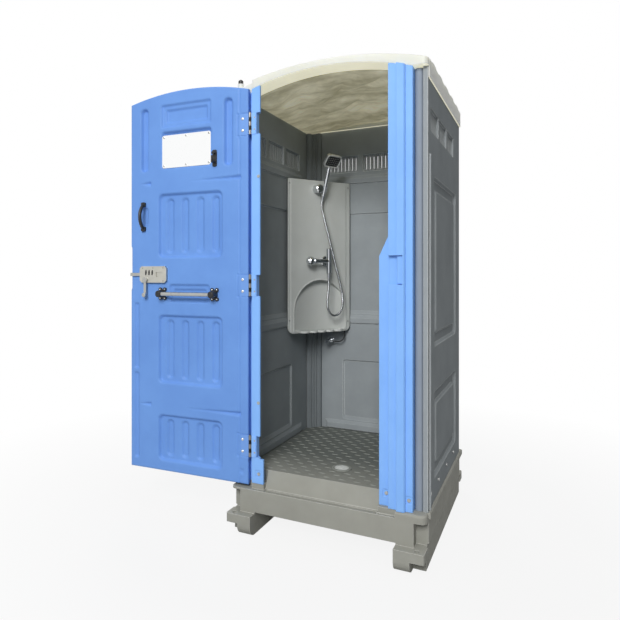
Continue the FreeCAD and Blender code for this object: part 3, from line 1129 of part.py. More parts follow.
def make_door():
    near = float(d.door_near)
    far = float(d.door_far)
    crown = Vector((near + far) / 2, 0, float(d.door_crown))
    arc = Part.Arc(Vector(far, 0, float(d.door_corner)), crown, Vector(near, 0, float(d.door_corner)))
    low = float(d.door_low)
    corners = [Vector(near, 0, float(d.door_corner)), Vector(near, 0, low), Vector(far, 0, low),
               Vector(far, 0, float(d.door_corner))]
    sides = [Part.LineSegment(a, b).toShape() for a, b in zip(corners, corners[1:])]
    slab = doc.addObject("Part::Feature", "door_slab")
    block = Part.Face(Part.Wire(sides + [arc.toShape()])).extrude(Vector(0, -float(d.door_thick), 0))
    slab.Shape = block.makeFillet(float(d.door_round), [e for e in block.Edges if runs_along("z")(e)])
    tools = [
        obround("slot_near", (d.slot_near_low, d.slot_near_high), (-d.slot_deep, THROUGH),
                (d.slot_low, d.slot_high)),
        obround("slot_far", (d.slot_far_low, d.slot_far_high), (-d.slot_deep, THROUGH),
                (d.slot_low, d.slot_high)),
        box("plate_recess", (d.plate_near, d.plate_far), (-d.plate_deep, THROUGH),
            (d.plate_low, d.plate_high)),
        box("plate_step", (d.plate_near + d.plate_step, d.plate_far - d.plate_step),
            (-d.plate_step_deep, THROUGH), (d.plate_low + d.plate_step, d.plate_high - d.plate_step)),
        soft_box("mirror_recess", (d.mirror_near, d.mirror_far), (-d.mirror_thick, THROUGH),
                 (d.mirror_low, d.mirror_high), d.mirror_round, "y"),
        ribbed_field("upper_field", d.upper_low, d.upper_high),
        ribbed_field("middle_field", d.middle_low, d.middle_high),
        ribbed_field("lower_field", d.lower_low, d.lower_high),
        box("edge_lower", (d.edge_near, d.edge_far), (-d.edge_deep, THROUGH),
            (d.edge_low, d.edge_break - d.edge_gap)),
        box("edge_upper", (d.edge_near, d.edge_far), (-d.edge_deep, THROUGH),
            (d.edge_break + d.edge_gap, d.edge_high)),
        box("edge_notch", (d.door_far - d.notch_deep, d.door_far + THROUGH),
            (-d.door_thick - THROUGH, THROUGH),
            (d.notch_low, d.notch_high)),
        obround("grip_cup", (d.grip_along - d.grip_cup_half, d.grip_along + d.grip_cup_half),
                (-d.grip_cup_deep, THROUGH), (d.grip_low + d.grip_cup_inset,
                                              d.grip_high - d.grip_cup_inset)),
        box("bar_recess", (d.bar_recess_near, d.bar_recess_far), (-d.bar_recess_deep, THROUGH),
            (d.bar_recess_low, d.bar_recess_high)),
        box("bar_recess_step", (d.bar_recess_near + d.bar_step, d.bar_recess_far - d.bar_step),
            (-d.bar_step_deep, THROUGH), (d.bar_recess_low + d.bar_step, d.bar_recess_high - d.bar_step)),
        rod("spindle_bore", d.spindle_radius + d.spindle_play, "y",
            (d.lever_along, -d.door_thick - THROUGH, d.lever_high), d.door_thick + 2 * THROUGH),
    ]
    sunk = (-d.line_deep, THROUGH)
    for name, high in (("upper", d.seam_high), ("lower", d.seam_low)):
        line = (high, high + d.line_wide)
        tools.append(box(f"seam_{name}_near", (d.stile_line, d.seam_near), sunk, line))
        tools.append(box(f"seam_{name}_far", (d.seam_far, d.slot_far_high), sunk, line))
    floor = d.door_low - THROUGH
    play = d.leaf_recess_play
    tall = d.hinge_tall
    for name, high in HINGES.items():
        low = high - d.hinge_pad_half
        top = high + d.hinge_pad_half
        tools.append(box(f"leaf_recess_{name}", (d.door_near - THROUGH, d.door_leaf_wide + play),
                         (-d.leaf_thick - SUNK - 0.1, THROUGH), (high - tall / 2 - play,
                                                                 high + tall / 2 + play)))
        tools.append(box(f"stile_line_{name}", (d.stile_line, d.stile_line + d.line_wide), sunk,
                         (floor, low)))
        tools.append(box(f"pad_line_{name}", (d.hinge_pad_edge, d.hinge_pad_edge + d.line_wide), sunk,
                         (low, top)))
        for end, level in (("foot", low), ("head", top)):
            tools.append(box(f"pad_{end}_{name}", (d.stile_line, d.hinge_pad_edge + d.line_wide), sunk,
                             (level, level + d.line_wide)))
        floor = top
    tools.append(box("stile_line_top", (d.stile_line, d.stile_line + d.line_wide), sunk,
                     (floor, d.door_crown)))
    inset = d.back_panel_inset
    halves = (("lower", d.door_low + inset, d.back_split_low),
              ("upper", d.back_split_high, d.door_corner - inset))
    for name, low, high in halves:
        panel = drafted(f"outer_{name}", (-d.door_far + inset, -d.door_near - inset),
                        (-THROUGH, d.back_panel_deep),
                        (low, high), d.back_panel_draft)
        bind(panel, "Placement.Base.y", -d.door_thick)
        bind(panel, "Placement.Base.x", d.door_far + d.door_near)
        tools.append(panel)
    on_door("door_panel", cut("door_cut", slab, *tools))


def make_door_fittings():
    gap = d.mirror_gap
    plate = soft_box("mirror_plate", (d.mirror_near + gap, d.mirror_far - gap), (-d.mirror_thick, -SUNK),
                     (d.mirror_low + gap, d.mirror_high - gap), d.mirror_round, "y")
    on_door("door_mirror", group("mirror_plate_group", plate))
    inset = d.rivet_inset
    rivets = []
    for i, along in enumerate((d.mirror_near + inset, (d.mirror_near + d.mirror_far) / 2,
                               d.mirror_far - inset)):
        for j, high in enumerate((d.mirror_low + inset, d.mirror_high - inset)):
            rivets.append(rod(f"mirror_rivet_{i}_{j}", d.rivet_radius, "y", (along, -SUNK, high),
                              d.rivet_proud))
    on_door("mirror_rivets", group("mirror_rivet_group", *rivets))

    half = d.hook_wide / 2
    plate = soft_box("hook_plate", (d.hook_along - half, d.hook_along + half), (0, d.hook_plate),
                     (d.hook_low, d.hook_high), d.hook_round, "y")
    low = d.hook_low + d.hook_arm_rise
    reach = d.hook_out + d.hook_radius
    arm = box("hook_arm", (d.hook_along - d.hook_radius, d.hook_along + d.hook_radius), (0, reach),
              (low - d.hook_radius, low + d.hook_radius))
    tip = rod("hook_tip", d.hook_radius, "z", (d.hook_along, d.hook_out, low - d.hook_radius),
              d.hook_tip_tall)
    arm = soften("hook_arm_soft", arm, d.hook_radius * 0.9,
                 lambda e: runs_along("z")(e) and e.CenterOfMass.y > 1)
    high = d.hook_high - d.hook_peg_drop
    peg = rod("hook_peg", d.hook_radius, "y", (d.hook_along, 0, high), d.hook_peg_out)
    knob = rod("hook_peg_end", d.hook_radius + d.hook_peg_lip, "y",
               (d.hook_along, d.hook_peg_out - d.hook_peg_end, high), d.hook_peg_end)
    on_door("coat_hook", fuse("hook_fuse", plate, arm, tip, peg, knob))

    middle = float(d.grip_high + d.grip_low) / 2
    along = float(d.grip_along)
    half = float(d.grip_high - d.grip_low) / 2 - float(d.grip_foot)
    foot = float(d.grip_plate)
    places = [Vector(along, foot, middle - half), Vector(along, float(d.grip_out), middle),
              Vector(along, foot, middle + half)]
    bow = Part.Arc(*places)
    ring = Part.Wire(Part.Circle(places[0], bow.tangent(bow.FirstParameter)[0],
                                 float(d.grip_radius)).toShape())
    sweep = doc.addObject("Part::Feature", "grip_bow")
    sweep.Shape = Part.Wire(bow.toShape()).makePipeShell([ring], True, False)
    ends = [sweep]
    for name, high in (("low", d.grip_low), ("high", d.grip_high - 2 * d.grip_foot)):
        ends.append(soft_box(f"grip_foot_{name}", (d.grip_along - d.grip_foot, d.grip_along + d.grip_foot),
                             (0, d.grip_foot), (high, high + 2 * d.grip_foot), d.grip_foot_round, "y"))
    on_door("pull_handle", fuse("grip_fuse", *ends))


def make_latch():
    play = d.bolt_play
    case = box("case_block", (d.case_near, d.case_far), (0, d.case_thick), (d.case_low, d.case_high))
    case = soften("case_corners", case, d.case_corner, runs_along("y"), "Part::Chamfer")
    channel = box("bolt_channel", (d.bolt_tail - play, d.case_far + THROUGH),
                  (d.bolt_inner - play, d.bolt_outer + play), (d.bolt_low - play, d.bolt_high + play))
    window = box("case_window", (d.window_near, d.window_far),
                 (d.case_thick - d.window_deep, d.case_thick + THROUGH),
                 (d.window_low, d.window_high))
    bore = rod("case_bore", d.spindle_radius + d.spindle_play, "y",
               (d.lever_along, -THROUGH, d.lever_high),
               d.case_thick + 2 * THROUGH)
    on_door("latch_case", cut("case_cut", case, channel, window, bore))
    bolt = soft_box("bolt_block", (d.bolt_tail, d.bolt_tip), (d.bolt_inner, d.bolt_outer),
                    (d.bolt_low, d.bolt_high), d.bolt_soft, "x")
    on_door("latch_bolt", group("bolt_group", bolt))

    face = d.case_thick + d.lever_gap
    x = d.lever_along
    z = d.lever_high
    hub = rod("lever_hub_disc", d.lever_hub, "y", (x, face, z), d.lever_thick + d.lever_rise)
    arm = box("lever_arm", (x - d.lever_radius, x + d.lever_radius), (face, face + d.lever_thick),
              (z - d.lever_long, z))
    knob = rod("lever_knob", d.lever_ball, "y", (x, face, z - d.lever_long), 2 * d.lever_ball)
    knob = soften("lever_knob_soft", knob, d.lever_soft, lambda e: e.Closed, "Part::Chamfer")
    socket = rod("lever_socket", d.spindle_radius, "y", (x, face - THROUGH, z), d.spindle_grip + THROUGH)
    on_door("latch_lever", cut("lever_cut", fuse("lever_fuse", hub, arm, knob), socket))
    outside = -d.door_thick - d.lever_gap
    spindle = rod("spindle_shaft", d.spindle_radius, "y", (x, outside, z), face + d.spindle_grip - outside)
    on_door("latch_spindle", group("spindle_group", spindle))
    disc = rod("disc_plate", d.disc_radius, "y", (x, outside - d.disc_thick, z), d.disc_thick)
    slot_top = outside - d.disc_thick + d.coin_slot_deep
    slot = box("disc_slot", (x - d.coin_slot_half, x + d.coin_slot_half),
               (outside - d.disc_thick - THROUGH, slot_top), (z - d.coin_slot_wide / 2,
                                                              z + d.coin_slot_wide / 2))
    on_door("indicator_disc", cut("disc_cut", disc, slot))


def make_grab_bar():
    bar = rod("bar_rod", d.bar_radius, "x", (d.bar_near, d.bar_out, d.bar_high), d.bar_far - d.bar_near)
    on_door("grab_bar", group("bar_group", bar))
    for label, middle in (("bar_bracket_near", d.bar_near), ("bar_bracket_far", d.bar_far)):
        plate = box(label + "_plate", (middle - d.lobe_along, middle + d.lobe_along), (0, d.bracket_plate),
                    (d.bar_high - d.lobe_rise, d.bar_high + d.lobe_rise))
        lobes = [rod(f"{label}_lobe_{i}_{j}", d.lobe_radius, "y",
                     (middle + i * d.lobe_along, 0, d.bar_high + j * d.lobe_rise), d.bracket_plate)
                 for i in (-1, 1) for j in (-1, 1)]
        boss = rod(label + "_boss", d.boss_radius, "y", (middle, 0, d.bar_high), d.boss_out)
        boss = soften(label + "_boss_soft", boss, d.boss_soft,
                      lambda e: e.Closed and e.CenterOfMass.y > 1, "Part::Chamfer")
        hole = rod(label + "_socket", d.bar_radius, "x", (d.bar_near, d.bar_out, d.bar_high),
                   d.bar_far - d.bar_near)
        on_door(label, cut(label + "_cut", fuse(label + "_blank", plate, boss, *lobes), hole))


# Places of the bolts along a side wall, from front to back
WALL_BOLTS = (-437, -235, 3, 240)


def make_bolts():
    face = -d.jamb_face
    stop = -d.stop_face
    flush = d.flush_proud
    hinge_side = -d.hinge_jamb_in
    sunk = d.pad_deep
    spots = [(hinge_side - d.hinge_bolt_in, d.hinge_bolt_high, face, flush),
             (hinge_side - d.hinge_bolt_in, d.hinge_bolt_low, face, flush),
             (hinge_side - d.foot_bolt_in, d.foot_bolt_high, face + sunk, d.bolt_proud),
             (d.strike_low_in + d.stop_bolt_in, d.stop_bolt_high, stop + sunk, d.bolt_proud),
             (d.strike_bead_out + d.strike_bolt_out, d.strike_bolt_high, face + sunk, d.bolt_proud)]
    heads = [rod(f"jamb_bolt_{i}", d.bolt_head, "y", (x, y - proud, z), proud)
             for i, (x, z, y, proud) in enumerate(spots)]
    node("jamb_bolts", group("jamb_bolt_group", *heads))
    heads = []
    high = d.pad_top + d.wall_bolt_rise
    for i, along in enumerate(WALL_BOLTS):
        heads.append(rod(f"wall_bolt_right_{i}", d.bolt_head, "x", (d.wall_out, along, high),
                         d.bolt_proud))
        heads.append(rod(f"wall_bolt_left_{i}", d.bolt_head, "x",
                         (-d.wall_out - d.bolt_proud, along, high),
                         d.bolt_proud))
        heads.append(rod(f"wall_bolt_back_{i}", d.bolt_head, "y",
                         (along + d.back_bolt_shift, d.wall_end, high), d.bolt_proud))
    node("wall_bolts", group("wall_bolt_group", *heads))


make_base()
make_drain()
make_walls()
make_posts()
make_jambs()
make_roof()
make_shower_panel()
make_mixer()
make_hand_shower()
make_shower_hose()
make_valve()
make_supply_hose()
make_hinges()
make_door()
make_door_fittings()
make_latch()
make_grab_bar()
make_bolts()
doc.recompute()

failed = [o.Name for o in doc.Objects if {"Invalid", "Error"} & set(o.State)]
if failed:
    raise RuntimeError("failed objects: " + ", ".join(failed))
for obj in nodes:
    if obj.Shape.isNull() or not obj.Shape.isValid() or not obj.Shape.Solids:
        raise RuntimeError("bad shape: " + obj.Label)

os.makedirs("parts", exist_ok=True)
for obj in nodes:
    obj.Shape.exportStep(f"parts/{obj.Label}.step")
    print("%-24s solids %d volume %.0f" % (obj.Label, len(obj.Shape.Solids), obj.Shape.Volume))
print(len(nodes), "nodes")
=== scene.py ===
import logging
import math
from collections.abc import Sequence
from dataclasses import dataclass, field
from enum import Enum
from functools import lru_cache
from typing import Any, ClassVar

import bpy
import numpy as np
from mathutils import Matrix, Vector, noise


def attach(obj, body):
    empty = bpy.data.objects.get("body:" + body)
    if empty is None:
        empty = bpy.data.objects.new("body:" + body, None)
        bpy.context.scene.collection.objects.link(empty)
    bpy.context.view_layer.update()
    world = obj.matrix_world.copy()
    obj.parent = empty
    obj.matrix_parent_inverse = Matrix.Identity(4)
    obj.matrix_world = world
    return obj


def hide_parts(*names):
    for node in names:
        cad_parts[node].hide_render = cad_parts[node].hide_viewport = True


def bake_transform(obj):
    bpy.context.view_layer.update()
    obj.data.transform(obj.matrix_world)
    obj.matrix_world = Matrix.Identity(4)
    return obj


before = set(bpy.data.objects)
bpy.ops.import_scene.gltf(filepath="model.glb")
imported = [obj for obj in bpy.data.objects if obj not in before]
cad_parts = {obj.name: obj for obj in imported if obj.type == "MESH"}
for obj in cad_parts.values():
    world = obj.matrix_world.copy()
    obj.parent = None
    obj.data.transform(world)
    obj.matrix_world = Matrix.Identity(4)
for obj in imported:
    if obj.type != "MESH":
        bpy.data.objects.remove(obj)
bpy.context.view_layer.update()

LOG = logging.getLogger("shower_cabin")
MM = 0.001
PER_METRE = 1000
Point = tuple[float, float, float]
Pair = tuple[float, float]

HINGE_PIN = (-0.389, -0.527)
STUD_SEGMENTS, STUD_RINGS = 8, 5
TUBE_SIDES, STEPS_PER_RIB = 14, 4.0
BEVEL_SAMPLES = 4
# A Mix node's colour sockets, which go by number because its other types share their names
MIX_A, MIX_B, MIX_OUT = 6, 7, 2


# Helpers for colours, nodes and objects

def linear(code: str) -> tuple[float, float, float, float]:
    """Turns an sRGB hex colour into linear values.

    Args:
        code: Six hex digits with a leading hash.

    Returns:
        Linear red, green and blue, and an alpha of 1.
    """
    parts = [int(code[i:i + 2], 16) / 255 for i in (1, 3, 5)]
    return (*[p / 12.92 if p <= 0.04045 else ((p + 0.055) / 1.055) ** 2.4 for p in parts], 1.0)


def wire(tree: bpy.types.NodeTree, node: bpy.types.Node, sockets: dict[str | int, Any]) -> None:
    """Sets or links a node's inputs.

    Args:
        tree: The node's tree.
        node: The node.
        sockets: Values, or output sockets to link, by the input's name or number.
    """
    for key, value in sockets.items():
        if isinstance(value, bpy.types.NodeSocket):
            tree.links.new(value, node.inputs[key])
        else:
            node.inputs[key].default_value = value


def add_node(tree: bpy.types.NodeTree, kind: str, sockets: dict[str | int, Any] | None = None,
             **settings: Any) -> bpy.types.Node:
    """Adds one node, gives it its settings, and sets or links its inputs.

    Args:
        tree: The tree that takes the node.
        kind: Blender's name for the node's type.
        sockets: Values, or output sockets to link, by the input's name or number.
        settings: The node's own properties.

    Returns:
        The new node.
    """
    made = tree.nodes.new(kind)
    for name, value in settings.items():
        setattr(made, name, value)
    wire(tree, made, sockets or {})
    return made


def start_material(name: str) -> tuple[bpy.types.Material, bpy.types.NodeTree, bpy.types.Node]:
    """Starts a node material.

    Args:
        name: The material's name.

    Returns:
        The material, its tree and its Principled shader.
    """
    made = bpy.data.materials.new(name)
    made.use_nodes = True
    return made, made.node_tree, made.node_tree.nodes["Principled BSDF"]


def new_object(name: str, data: bpy.types.ID) -> bpy.types.Object:
    """Puts a mesh, curve, lamp or camera into the scene, at the origin.

    Args:
        name: The object's name.
        data: Its data, a mesh or curve with its place in it.

    Returns:
        The new object.
    """
    made = bpy.data.objects.new(name, data)
    bpy.context.scene.collection.objects.link(made)
    return made


def finish_piece(piece: bpy.types.Object, body: str) -> bpy.types.Object:
    """Makes a piece ride on a body and logs it.

    Args:
        piece: The piece, in its place.
        body: The body that it moves with.

    Returns:
        The same piece.
    """
    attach(piece, body)
    LOG.info("%s rides on %s, %d faces", piece.name, body, len(piece.data.polygons))
    return piece


# Finishes

@dataclass(frozen=True)
class MouldedPlastic:
    """Moulded plastic or rubber: satin with a faint orange peel, softly mottled, rounded along its edges,
    which are painted pale: a highlight on most finishes, the rim's own tone on the spray face.
    """

    name: str
    colour: str
    shade: str
    edge: str
    roughness: float = 0.5
    gloss_spread: Pair = (-0.06, 0.08)
    scuff_mm: float = 35.0
    scuff_range: Pair = (0.3, 0.7)
    ior: float = 1.51
    specular: float = 0.22
    peel_mm: float = 5.0
    peel_depth_mm: float = 0.12
    peel_strength: float = 0.6
    mottle_mm: float = 240.0
    mottle_range: Pair = (0.35, 0.68)
    # Draws the mottle out; on the ceiling its patches are painted light and shade
    stretch: Point = (1.0, 1.0, 1.0)
    # A darker deck: wear underfoot, with painted shade that deepens towards the back
    trodden_and_shade: str = ""
    trodden_and_shade_above: float = 0.0
    painted_shade_reach: Pair = (-0.46, -0.10)
    painted_shade_least: float = 0.25
    round_mm: float = 4.0
    # The edge colour, mixed in where the rounded normal turns: a painted highlight, and on the spray face the
    # rim's own pale tone
    edge_tone_and_highlight_share: float = 0.5
    edge_start: float = 0.985
    edge_turn: float = 0.75
    # Subsurface scattering (glow, its size and radius), and a painted glow: emission on the faces that look
    # down
    glow: float = 0.0
    glow_mm: float = 40.0
    glow_radius: Point = (1.0, 0.95, 0.8)
    painted_glow_tint: str = "#FFF8E0"
    painted_glow_facing: Pair = (0.0, -0.9)
    painted_glow_strength: float = 0.0

    def material(self) -> bpy.types.Material:
        """Builds the material.

        Returns:
            A node material on Object coordinates.
        """
        made, tree, shader = start_material(self.name)
        place = add_node(tree, "ShaderNodeTexCoord").outputs["Object"]
        body = self.body(tree, place)
        rounded = add_node(tree, "ShaderNodeBevel", {"Radius": self.round_mm * MM},
                           samples=BEVEL_SAMPLES).outputs["Normal"]
        flat = add_node(tree, "ShaderNodeNewGeometry").outputs["Normal"]
        turn = add_node(tree, "ShaderNodeVectorMath", {0: rounded, 1: flat}, operation="DOT_PRODUCT")
        # Pale edges: a painted highlight, except on the spray face, where it is the rim's own tone
        edge_tone_and_highlight = add_node(tree, "ShaderNodeMapRange",
                        {"Value": turn.outputs["Value"], "From Min": self.edge_start,
                         "From Max": self.edge_turn, "To Max": self.edge_tone_and_highlight_share})
        tint = add_node(tree, "ShaderNodeMix", {0: edge_tone_and_highlight.outputs["Result"], MIX_A: body,
                                                MIX_B: linear(self.edge)}, data_type="RGBA")
        scuff = add_node(tree, "ShaderNodeTexNoise",
                         {"Vector": place, "Scale": PER_METRE / self.scuff_mm, "Detail": 6.0})
        gloss = add_node(tree, "ShaderNodeMapRange",
                         {"Value": scuff.outputs["Fac"], "From Min": self.scuff_range[0],
                          "From Max": self.scuff_range[1], "To Min": self.roughness + self.gloss_spread[0],
                          "To Max": self.roughness + self.gloss_spread[1]})
        peel = add_node(tree, "ShaderNodeTexNoise",
                        {"Vector": place, "Scale": PER_METRE / self.peel_mm, "Detail": 2.0})
        bump = add_node(tree, "ShaderNodeBump",
                        {"Strength": self.peel_strength, "Distance": self.peel_depth_mm * MM,
                         "Height": peel.outputs["Fac"], "Normal": rounded})
        wire(tree, shader, {"Base Color": tint.outputs[MIX_OUT], "Roughness": gloss.outputs["Result"],
                            "Normal": bump.outputs["Normal"], "IOR": self.ior,
                            "Specular IOR Level": self.specular})
        if self.glow:
            self.daylight(tree, shader, body, flat)
        return made

    def body(self, tree: bpy.types.NodeTree, place: bpy.types.NodeSocket) -> bpy.types.NodeSocket:
        """Mottles the body's colour, and darkens the deck: worn dark underfoot, with painted shade that
        deepens towards the back.

        Args:
            tree: The material's tree.
            place: Object coordinates.

        Returns:
            The colour's socket.
        """
        drawn = add_node(tree, "ShaderNodeMapping", {"Vector": place, "Scale": self.stretch})
        mottle = add_node(tree, "ShaderNodeTexNoise",
                          {"Vector": drawn.outputs[0], "Scale": PER_METRE / self.mottle_mm, "Detail": 4.0,
                           "Roughness": 0.6})
        tone = add_node(tree, "ShaderNodeMapRange",
                        {"Value": mottle.outputs["Fac"], "From Min": self.mottle_range[0],
                         "From Max": self.mottle_range[1]})
        body = add_node(tree, "ShaderNodeMix", {0: tone.outputs["Result"], MIX_A: linear(self.shade),
                                                MIX_B: linear(self.colour)}, data_type="RGBA")
        # The deck's darkening: wear underfoot, and painted shade that deepens towards the back
        if self.trodden_and_shade:
            apart = add_node(tree, "ShaderNodeSeparateXYZ", {"Vector": place})
            underfoot = add_node(tree, "ShaderNodeMath", {0: apart.outputs["Z"], 1: self.trodden_and_shade_above},
                                 operation="GREATER_THAN")
            inside = add_node(tree, "ShaderNodeMapRange",
                              {"Value": apart.outputs["Y"], "From Min": self.painted_shade_reach[0],
                               "From Max": self.painted_shade_reach[1], "To Min": self.painted_shade_least})
            share = add_node(tree, "ShaderNodeMath", {0: underfoot.outputs[0], 1: inside.outputs["Result"]},
                             operation="MULTIPLY")
            body = add_node(tree, "ShaderNodeMix", {0: share.outputs[0], MIX_A: body.outputs[MIX_OUT],
                                                    MIX_B: linear(self.trodden_and_shade)}, data_type="RGBA")
        return body.outputs[MIX_OUT]

    def daylight(self, tree: bpy.types.NodeTree, shader: bpy.types.Node, body: bpy.types.NodeSocket,
                 flat: bpy.types.NodeSocket) -> None:
        """Lets light soak in as subsurface scattering, and paints a warm glow as emission on the faces that
        look down.

        Args:
            tree: The material's tree.
            shader: Its Principled shader.
            body: The body's colour.
            flat: The face's own normal.
        """
        # Painted glow: emission that rises on faces looking down, in the body's colour warmed
        facing = add_node(tree, "ShaderNodeSeparateXYZ", {"Vector": flat})
        through = add_node(tree, "ShaderNodeMapRange",
                           {"Value": facing.outputs["Z"], "From Min": self.painted_glow_facing[0],
                            "From Max": self.painted_glow_facing[1], "To Max": self.painted_glow_strength})
        warm = add_node(tree, "ShaderNodeMix", {0: 1.0, MIX_A: body, MIX_B: linear(self.painted_glow_tint)},
                        data_type="RGBA", blend_type="MULTIPLY")
        wire(tree, shader, {"Subsurface Weight": self.glow, "Subsurface Radius": self.glow_radius,
                            "Subsurface Scale": self.glow_mm * MM, "Emission Color": warm.outputs[MIX_OUT],
                            "Emission Strength": through.outputs["Result"]})


@dataclass(frozen=True)
class Metal:
    """Chrome or stainless steel: mirror bright, or drawn along one axis into fine brush lines."""

    name: str
    colour: str
    roughness: float
    brush: Point = (0.0, 0.0, 0.0)
    # Real brush lines are some tenths of a millimetre apart; these are drawn coarser, so that they show
    brush_mm: float = 1.6
    brush_along: float = 0.04
    smear_mm: float = 22.0
    pit_mm: float = 8.0
    dulled: float = 0.86
    grain_mm: float = 0.05
    grain_strength: float = 0.25
    gloss_range: Pair = (0.6, 1.4)
    gloss_spread: Pair = (0.7, 1.4)
    round_mm: float = 0.8

    def material(self) -> bpy.types.Material:
        """Builds the material.

        Returns:
            A node material on Object coordinates.
        """
        made, tree, shader = start_material(self.name)
        place = add_node(tree, "ShaderNodeTexCoord").outputs["Object"]
        smear = add_node(tree, "ShaderNodeTexNoise",
                         {"Vector": place, "Scale": PER_METRE / self.smear_mm, "Detail": 5.0}).outputs["Fac"]
        lines, scale = place, PER_METRE / self.pit_mm
        if any(self.brush):
            fine = PER_METRE / self.brush_mm
            stretch = tuple(fine * (self.brush_along if along else 1.0) for along in self.brush)
            lines = add_node(tree, "ShaderNodeMapping", {"Vector": place, "Scale": stretch}).outputs[0]
            scale = 1.0
        grain = add_node(tree, "ShaderNodeTexNoise",
                         {"Vector": lines, "Scale": scale, "Detail": 3.0}).outputs["Fac"]
        both = add_node(tree, "ShaderNodeMath", {0: smear, 1: grain})
        gloss = add_node(tree, "ShaderNodeMapRange",
                         {"Value": both.outputs[0], "From Min": self.gloss_range[0],
                          "From Max": self.gloss_range[1], "To Min": self.roughness * self.gloss_spread[0],
                          "To Max": self.roughness * self.gloss_spread[1]})
        dull = (*[c * self.dulled for c in linear(self.colour)[:3]], 1.0)
        tint = add_node(tree, "ShaderNodeMix", {0: smear, MIX_A: dull, MIX_B: linear(self.colour)},
                        data_type="RGBA")
        rounded = add_node(tree, "ShaderNodeBevel", {"Radius": self.round_mm * MM}, samples=BEVEL_SAMPLES)
        bump = add_node(tree, "ShaderNodeBump",
                        {"Strength": self.grain_strength, "Distance": self.grain_mm * MM, "Height": grain,
                         "Normal": rounded.outputs["Normal"]})
        wire(tree, shader, {"Metallic": 1.0, "Base Color": tint.outputs[MIX_OUT],
                            "Roughness": gloss.outputs["Result"], "Normal": bump.outputs["Normal"]})
        return made


@dataclass(frozen=True)
class PaintedHinge:
    """A hinge leaf painted with the door: a blue plate, with bare steel round the pin."""

    name: str
    paint: str
    steel: str
    pin: Pair = HINGE_PIN
    knuckle_mm: float = 8.0
    rub_mm: float = 6.0
    roughness: Pair = (0.25, 0.5)

    def material(self) -> bpy.types.Material:
        """Builds the material.

        Returns:
            A node material on Object coordinates.
        """
        made, tree, shader = start_material(self.name)
        place = add_node(tree, "ShaderNodeTexCoord").outputs["Object"]
        apart = add_node(tree, "ShaderNodeSeparateXYZ", {"Vector": place})
        flat = add_node(tree, "ShaderNodeCombineXYZ", {"X": apart.outputs["X"], "Y": apart.outputs["Y"]})
        away = add_node(tree, "ShaderNodeVectorMath", {0: flat.outputs[0], 1: (*self.pin, 0.0)},
                        operation="DISTANCE")
        bare = add_node(tree, "ShaderNodeMath", {0: away.outputs["Value"], 1: self.knuckle_mm * MM},
                        operation="LESS_THAN").outputs[0]
        tint = add_node(tree, "ShaderNodeMix", {0: bare, MIX_A: linear(self.paint),
                                                MIX_B: linear(self.steel)}, data_type="RGBA")
        rubbed = add_node(tree, "ShaderNodeTexNoise",
                          {"Vector": place, "Scale": PER_METRE / self.rub_mm, "Detail": 4.0})
        gloss = add_node(tree, "ShaderNodeMapRange",
                         {"Value": rubbed.outputs["Fac"], "To Min": self.roughness[0],
                          "To Max": self.roughness[1]})
        wire(tree, shader, {"Base Color": tint.outputs[MIX_OUT], "Metallic": bare,
                            "Roughness": gloss.outputs["Result"]})
        return made


@dataclass(frozen=True)
class FlyScreen:
    """Fine mesh in the vents: too fine to see as wires, it lets about half of the daylight through."""

    name: str
    colour: str
    cover: float
    roughness: float = 0.7

    def material(self) -> bpy.types.Material:
        """Builds the material.

        Returns:
            A material with plain values.
        """
        made, tree, shader = start_material(self.name)
        wire(tree, shader, {"Base Color": linear(self.colour), "Roughness": self.roughness,
                            "Alpha": self.cover})
        return made


